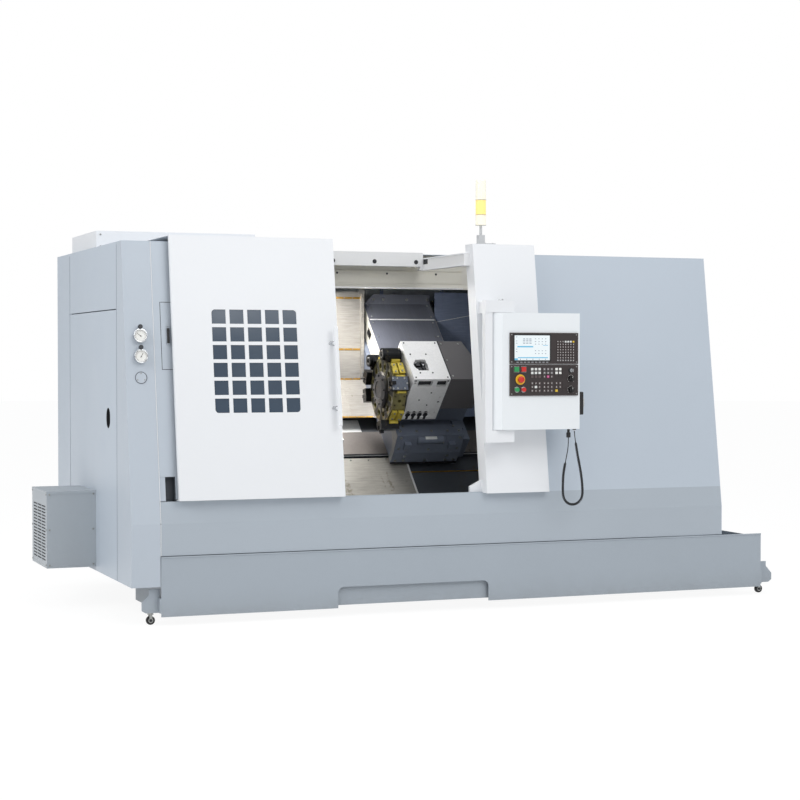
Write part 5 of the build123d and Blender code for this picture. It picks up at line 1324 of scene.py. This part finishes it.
marks = [(x - 1.5, x + 1.5, z - 3, z + 3, 3.4, 3.9) for x, z in display_keys[:3] + display_keys[7:]]
lower_marks = operator_keys("left", lower_drop) + operator_keys("middle", lower_drop)
lower_marks += operator_keys("middle", upper_drop) + operator_keys("right", lower_drop, (0, 1), (0, 1))
marks += [(x - 1.5, x + 1.5, z - 4, z + 4, 3.4, 3.9) for x, z in lower_marks]
piece("key_marks", plates(upright(0, unit_face, 0), marks), "white_key", "pendant")
stop_place = upright(unit_left + 70, unit_face - 5, operator_top - 94)
piece("stop_ring", at(stop_place, band_shape(12, 33, 0.2, 2.4, 56)), "yellow_ring", "pendant", 0.6)
stop_rim = at(upright(unit_left + 70, unit_face - 22, operator_top - 94), ring(20.0, 1.2, 48, 8))
piece("stop_cap_rim", stop_rim, "red_button", "emergency_stop", smooth=True)
knob_turns = [(math.radians(-135 + 27 * i), 1.0) for i in range(11)]
grip_spots = spots_round(16.8, 18)
for name, drop in (("feed", 89), ("speed", 160)):
    knob_place = upright(unit_left + 430, unit_face, operator_top - drop)
    piece(
        f"{name}_marks", at(knob_place, turned_bars(knob_turns, 21, 26, 1.6, 0.5)), "dial_white", "pendant"
    )
    piece(f"{name}_pointer", plates(knob_place, [(-1, 1, 4, 14, 29, 29.6)]), "dial_white", name)
    grips = repeated(blocks([(-1, 1, -1, 1, 1, 22)]), grip_spots)
    piece(f"{name}_grips", at(knob_place, grips), "black_plastic", name)
controls_place = upright(unit_left, unit_face, operator_top)
button_collars = repeated(band_shape(14.6, 18, 0, 3, 36), [(47, -158), (94, -158)])
piece("button_collars", at(controls_place, button_collars), "chrome_plate", "pendant")
square_frames = [
    bar
    for x in (45, 95)
    for bar in (
        (x - 19, x + 19, -48, -45, 0, 2),
        (x - 19, x + 19, -13, -10, 0, 2),
        (x - 19, x - 16, -45, -13, 0, 2),
        (x + 16, x + 19, -45, -13, 0, 2),
    )
]
piece("square_button_frames", plates(controls_place, square_frames), "zinc_plate", "pendant", 0.4)
switch_collar = repeated(band_shape(12.6, 17, 0, 2.5, 36), [(430, -36)])
piece("switch_collar", at(controls_place, switch_collar), "black_plastic", "pendant")
pendant_back = facing_back(2711, -85, 0)
back_cover = blocks([(30, 500, 1230, 1840, 0, 2.5)])
piece(
    "pendant_back_cover", at(pendant_back, back_cover), "pendant_paint", "pendant", 1.2,
)
back_spots = [(x, z, 2.5) for x in (42, 265, 488) for z in (1242, 1535, 1828)]
piece("pendant_back_screws", screws_at(pendant_back, back_spots, 5, 3), "zinc_plate", "pendant")
pin_cap = revolved([(0, 0), (17, 0), (17, 4), (12, 9), (0, 10)], 32)
piece("pendant_pin_cap", at(flat_on(2180, -140, 1987), pin_cap), "chrome_plate", smooth=True)
under_pendant = Place((2699, -150, 1163), (1, 0, 0), (0, -1, 0))
gland_rows = [(9.2, 0), (13.5, 0), (13.5, 6), (11.5, 8), (9.2, 8), (9.2, 0)]
piece("cord_gland_nut", at(under_pendant, revolved(gland_rows, 6)), "black_plastic", "pendant")
wheel_face = on_right(2741, -149, 1328)
piece("handwheel_ring", at(wheel_face, band_shape(37.5, 41, 0, 2, 56)), "dial_white", "pendant")
rim_spots = spots_round(35.4, 7.2)
dial_knurls = repeated(blocks([(-0.8, 0.8, -0.8, 0.8, 3, 11)]), rim_spots)
piece("dial_knurl", at(wheel_face, dial_knurls), "chrome_plate", "dial")

# Stack light: dark rings between its tiers and screws in its foot
light_axis = (2218.0, 263.45)
tier_place = flat_on(*light_axis, 2490)
tier_rings = joined(ring(33.6, 1.6, 48, 8, 1.5), ring(33.6, 1.8, 48, 8, 70), ring(33.6, 1.8, 48, 8, 168))
piece("tier_rings", at(tier_place, tier_rings), "grey_key", smooth=True)
foot_spots = [(x, y) for x in (2242, 2296) for y in (245, 290)]
piece("light_foot_screws", screws_at(flat_on(0, 0, 2374), foot_spots, 4, 3), "zinc_plate")

# Side unit: a dark plate behind its slots, painted as the shade inside the box, screws and the folded edge of
# its lid
vent_shade_plate = blocks([(-1520, -1030, 290, 700, -6, -4.6)])
piece("side_unit_vent_shade", at(on_left(0, 0, -501), vent_shade_plate), "shadow_grey")
unit_side_spots = [(-y, z) for y in (1028, 1512) for z in (284, 512, 740)]
unit_front_spots = [(x, z) for x in (-483, -199) for z in (284, 512, 740)]
side_unit_screws = joined(
    screws_at(on_left(0, 0, -501), unit_side_spots, 6, 4),
    screws_at(upright(0, 1010, 0), unit_front_spots, 6, 4),
)
piece("side_unit_screws", side_unit_screws, "zinc_plate")
lid_edge = [(-503, -181, 1008, 1010, 742, 760), (-503, -501, 1010, 1530, 742, 760)]
piece("side_unit_lid_edge", blocks(lid_edge), "side_unit_paint", bevel=0.5)

# Roof box: flange round its foot with bolts
flange_low, flange_high = 2338.5, 2344.0
box_flange = [
    (-120, 1004, 1304, 1316, flange_low, flange_high), (-120, 1004, 2116, 2128, flange_low, flange_high)
]
box_flange += [
    (-120, -108, 1316, 2116, flange_low, flange_high), (992, 1004, 1316, 2116, flange_low, flange_high)
]
piece("roof_box_flange", blocks(box_flange), "white_paint", bevel=0.8)
box_bolts = [(x, z) for x in (-80, 442, 964) for z in (2364, 2442)]
piece("roof_box_screws", screws_at(upright(0, 1316, 0), box_bolts, 6, 4), "zinc_plate")

# Tank: folded hem along its top edge
hem = blocks([(0, 4200, 411, 420, 0.2, 3.5)])
piece("tank_hem", at(upright(0, 0, 0), hem), "tank_paint", "tank", 1.2)

# Casters: rolled hub plates and axle nuts on both sides of each wheel
for side_name, caster_x in (("left", -44.0), ("right", 4244.0)):
    hub = joined(
        at(upright(caster_x, 89, 27), revolved([(0, -0.2), (15, -0.2), (15, 0.8), (0, 1.2)], 24)),
        at(facing_back(caster_x, 111, 27), revolved([(0, -0.2), (15, -0.2), (15, 0.8), (0, 1.2)], 24)),
    )
    piece(f"caster_hub_{side_name}", hub, "zinc_plate", f"{side_name}_wheel")
    nut = at(upright(caster_x, 100 - 15.5, 27), hex_head(7, 5))
    piece(f"caster_nut_{side_name}", nut, "dark_bolt", f"{side_name}_caster")

# Back: lock and louvres of the rear door
rear_place = facing_back(0, 2306, 0)
louvre_pitch = 34
door_louvre = extruded([(-2, 0.2), (12, 0.2), (12, 1.2), (-2, 8)], 0, 300)
rear_louvres = at(
    Place((2650, 2306, 760), (0, 0, 1), (0, 1, 0)),
    repeated(door_louvre, [(louvre_pitch * j, 0, 0) for j in range(9)]),
)
piece("rear_door_louvres", rear_louvres, "panel_paint", "rear_door")
lock_plate = joined(
    blocks([(-3250, -3215, 1120, 1210, 0, 3)]), repeated(disc_shape(11, 3, 9, 24), [(-3232, 1165, 0)])
)
piece("rear_door_lock", at(rear_place, lock_plate), "chrome_plate", "rear_door", 0.8)

# Joints of the sheets behind, on the right and on the roof, with their screws
sheet_joints = joined(
    plates(facing_back(0, 2284, 0), [(-x - 14, -x + 14, 250, 2300, 0, 2) for x in (900, 1900)]),
    plates(on_right(3894, 0, 0), [(1400, 1428, 250, 2296, 0, 2)]),
    plates(flat_on(0, 0, 2338), [(1486, 1514, 1130, 2276, 0, 2)]),
    plates(flat_on(0, 0, 2306), [(3086, 3114, 560, 2276, 0, 2)]),
)
piece("sheet_joints", sheet_joints, "panel_paint", bevel=0.6)
joint_heights = range(330, 2260, 240)
joint_screws = joined(
    screws_at(facing_back(0, 2286, 0), [(-x, z) for x in (900, 1900) for z in joint_heights], 6, 4),
    screws_at(on_right(3896, 0, 0), [(1414, z) for z in joint_heights], 6, 4),
    screws_at(flat_on(0, 0, 2340), [(1500, y) for y in range(1200, 2240, 200)], 6, 4),
    screws_at(flat_on(0, 0, 2308), [(3100, y) for y in range(640, 2240, 200)], 6, 4),
)
piece("sheet_joint_screws", joint_screws, "zinc_plate")

# Curly cord of the hand wheel
cord_y = -150.0
cord_points = [
    (2699.0, 1149.0), (2699.0, 1128.0), (2707.0, 1078.0), (2722.0, 990.0), (2746.0, 880.0),
    (2758.0, 790.0), (2758.0, 713.0), (2717.0, 672.0), (2659.0, 672.0), (2618.0, 713.0), (2616.0, 790.0),
    (2619.0, 870.0), (2634.0, 945.0), (2648.0, 1010.0), (2656.0, 1058.0), (2656.0, 1106.0),
]
cord_wire = 6.0
cord_outside = 18.0
cord_pitch = 7.2
coil_points, ease_points, lead_step = 12, 18.0, 12
lead_gap = 0.004
spline_shrink = 0.975
curl_start_height = 1078.0
curl_end_height = 945.0


def route_line():
    """Points along the smooth route: a NURBS spline of order 3 through the route's control points."""
    curve = bpy.data.curves.new("route", "CURVE")
    curve.dimensions = "3D"
    spline = curve.splines.new("NURBS")
    spline.points.add(len(cord_points) - 1)
    for point, (x, z) in zip(spline.points, cord_points):
        point.co = (*row((x, cord_y, z)), 1.0)
    spline.order_u = 3
    spline.use_endpoint_u = True
    spline.resolution_u = 24
    carrier = bpy.data.objects.new("route", curve)
    bpy.context.scene.collection.objects.link(carrier)
    bpy.context.view_layer.update()
    mesh = bpy.data.meshes.new_from_object(carrier)
    line = np.array([vertex.co[:] for vertex in mesh.vertices])
    bpy.data.objects.remove(carrier)
    bpy.data.curves.remove(curve)
    bpy.data.meshes.remove(mesh)
    return line


def curly_cord():
    """The cord as one spline: straight leads, and between them a helix of the coils' radius about the route.
    At the arc length t the helix point is line(t) + r cos(a) side + r sin(a) lift, a = 2 pi t / pitch.
    The spline cuts its corners, so r is made larger by its shrink."""
    line = route_line()
    steps = np.linalg.norm(np.diff(line, axis=0), axis=1)
    along = np.concatenate([[0.0], np.cumsum(steps)])
    turns_from = along[np.argmax(line[:, 2] < curl_start_height / 1000)]
    lowest = int(np.argmin(line[:, 2]))
    turns_to = along[lowest + np.argmax(line[lowest:, 2] > curl_end_height / 1000)]
    pitch, radius = cord_pitch / 1000, (cord_outside - cord_wire) / 2000
    count = int((turns_to - turns_from) / pitch)
    t = np.linspace(turns_from, turns_to, count * coil_points + 1)
    centre = np.stack([np.interp(t, along, line[:, k]) for k in range(3)], axis=1)
    tangent = np.gradient(centre, axis=0)
    tangent /= np.linalg.norm(tangent, axis=1)[:, None]
    side = np.tile((0.0, 1.0, 0.0), (len(t), 1))
    lift = np.cross(tangent, side)
    angle = 2 * np.pi * np.linspace(0, count, len(t))[:, None]
    ease = np.minimum(1.0, np.minimum(np.arange(len(t)), np.arange(len(t))[::-1]) / ease_points)[:, None]
    helix = centre + ease * radius / spline_shrink * (np.cos(angle) * side + np.sin(angle) * lift)
    lead = line[along < turns_from - lead_gap][::lead_step]
    tail = line[along > turns_to + lead_gap][::lead_step]
    route = np.vstack([lead, helix, tail, line[-1:]])
    curve = bpy.data.curves.new("curly_cord", "CURVE")
    curve.dimensions = "3D"
    curve.bevel_depth = cord_wire / 2000
    curve.bevel_resolution = 2
    curve.use_fill_caps = True
    spline = curve.splines.new("NURBS")
    spline.points.add(len(route) - 1)
    spline.points.foreach_set("co", np.c_[route, np.ones(len(route))].ravel())
    spline.order_u = 3
    spline.use_endpoint_u = True
    spline.resolution_u = 2
    curve.materials.append(materials["black_cord"])
    obj = bpy.data.objects.new("curly_cord", curve)
    bpy.context.scene.collection.objects.link(obj)
    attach(obj, "pendant")
    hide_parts("handwheel_cord")
    return obj, float(np.linalg.norm(np.diff(route, axis=0), axis=1).sum())


cord_object, cord_length = curly_cord()

# Camera, lights, floor
camera_place = (-2710.4, -10891.9, 1614.5)
camera_yaw = 21.341
camera_pitch = 1.273
camera_data = bpy.data.cameras.new("camera")
camera_data.lens = 83.27
camera_data.sensor_width = 36.0
camera_data.clip_end = 200.0
camera = bpy.data.objects.new("camera", camera_data)
camera.location = row(camera_place)
camera.rotation_euler = (math.radians(90 - camera_pitch), 0.0, math.radians(-camera_yaw))
bpy.context.scene.collection.objects.link(camera)
bpy.context.scene.camera = camera


def lamp(name, place, target, size, power, colour=(1.0, 1.0, 1.0)):
    """Square area lamp at a place, turned to a target."""
    data = bpy.data.lights.new(name, "AREA")
    data.shape = "SQUARE"
    data.size = size
    data.energy = power
    data.color = colour
    obj = bpy.data.objects.new(name, data)
    obj.location = row(place)
    towards = row(target) - row(place)
    length = np.linalg.norm(towards)
    pitch = math.acos(max(-1.0, min(1.0, -towards[2] / length)))
    obj.rotation_euler = (pitch, 0.0, math.atan2(towards[1], towards[0]) - math.pi / 2)
    bpy.context.scene.collection.objects.link(obj)
    return obj


lamp("key", (3500, -6500, 6500), (1900, 400, 1200), size=5.0, power=235.0)
lamp("fill", (-5600, -1400, 5400), (-181, 1100, 2100), size=4.0, power=210.0)
lamp("top", (1900, 1000, 7000), (1900, 1000, 0), size=6.0, power=120.0)
work_colour = (1.0, 0.98, 0.95)
lamp("work_light", (1560, 1180, 2088), (1640, 1180, 1200), size=0.3, power=17.0, colour=work_colour)


def white_seen(tree, plain, colour, share):
    """Shader mixed towards plain white light where the camera, a reflection or glass looks at it."""
    path = tree.nodes.new("ShaderNodeLightPath")
    seen = worked(tree, "MAXIMUM", path.outputs["Is Camera Ray"], path.outputs["Is Glossy Ray"])
    seen = worked(tree, "MAXIMUM", seen, path.outputs["Is Transmission Ray"])
    glow = tree.nodes.new("ShaderNodeEmission")
    glow.inputs["Color"].default_value = colour
    mix = tree.nodes.new("ShaderNodeMixShader")
    tree.links.new(worked(tree, "MULTIPLY", seen, share), mix.inputs[0])
    tree.links.new(plain, mix.inputs[1])
    tree.links.new(glow.outputs[0], mix.inputs[2])
    return mix.outputs[0]


floor_radius, floor_sides = 60.0, 96


def pale_floor():
    """Round pale floor far past the view, nearly white to the camera, with the object's shadow."""
    material, tree, shader = blank_material("pale_floor")
    shader.inputs["Base Color"].default_value = (0.82, 0.82, 0.82, 1.0)
    shader.inputs["Roughness"].default_value = 0.9
    shader.inputs["Specular IOR Level"].default_value = 0.1
    surface = white_seen(tree, shader.outputs[0], (1.07, 1.07, 1.07, 1.0), 0.86)
    tree.links.new(surface, tree.nodes["Material Output"].inputs["Surface"])
    angles = np.linspace(0, 2 * np.pi, floor_sides, endpoint=False)
    points = np.c_[floor_radius * np.cos(angles), floor_radius * np.sin(angles), np.zeros(floor_sides)]
    mesh = bpy.data.meshes.new("floor")
    mesh.from_pydata(points.tolist(), [], [tuple(range(floor_sides))])
    mesh.materials.append(material)
    floor = bpy.data.objects.new("floor", mesh)
    bpy.context.scene.collection.objects.link(floor)


def studio_world():
    """Even pale surroundings, white where the camera sees them."""
    world = bpy.data.worlds.new("studio")
    bpy.context.scene.world = world
    world.use_nodes = True
    tree = world.node_tree
    back = tree.nodes["Background"]
    back.inputs["Color"].default_value = (0.97, 0.985, 1.0, 1.0)
    back.inputs["Strength"].default_value = 0.55
    white = tree.nodes.new("ShaderNodeBackground")
    white.inputs["Color"].default_value = (1.0, 1.0, 1.0, 1.0)
    path = tree.nodes.new("ShaderNodeLightPath")
    mix = tree.nodes.new("ShaderNodeMixShader")
    tree.links.new(path.outputs["Is Camera Ray"], mix.inputs[0])
    tree.links.new(back.outputs[0], mix.inputs[1])
    tree.links.new(white.outputs[0], mix.inputs[2])
    tree.links.new(mix.outputs[0], tree.nodes["World Output"].inputs["Surface"])


pale_floor()
studio_world()
bpy.context.scene.view_settings.view_transform = "Standard"
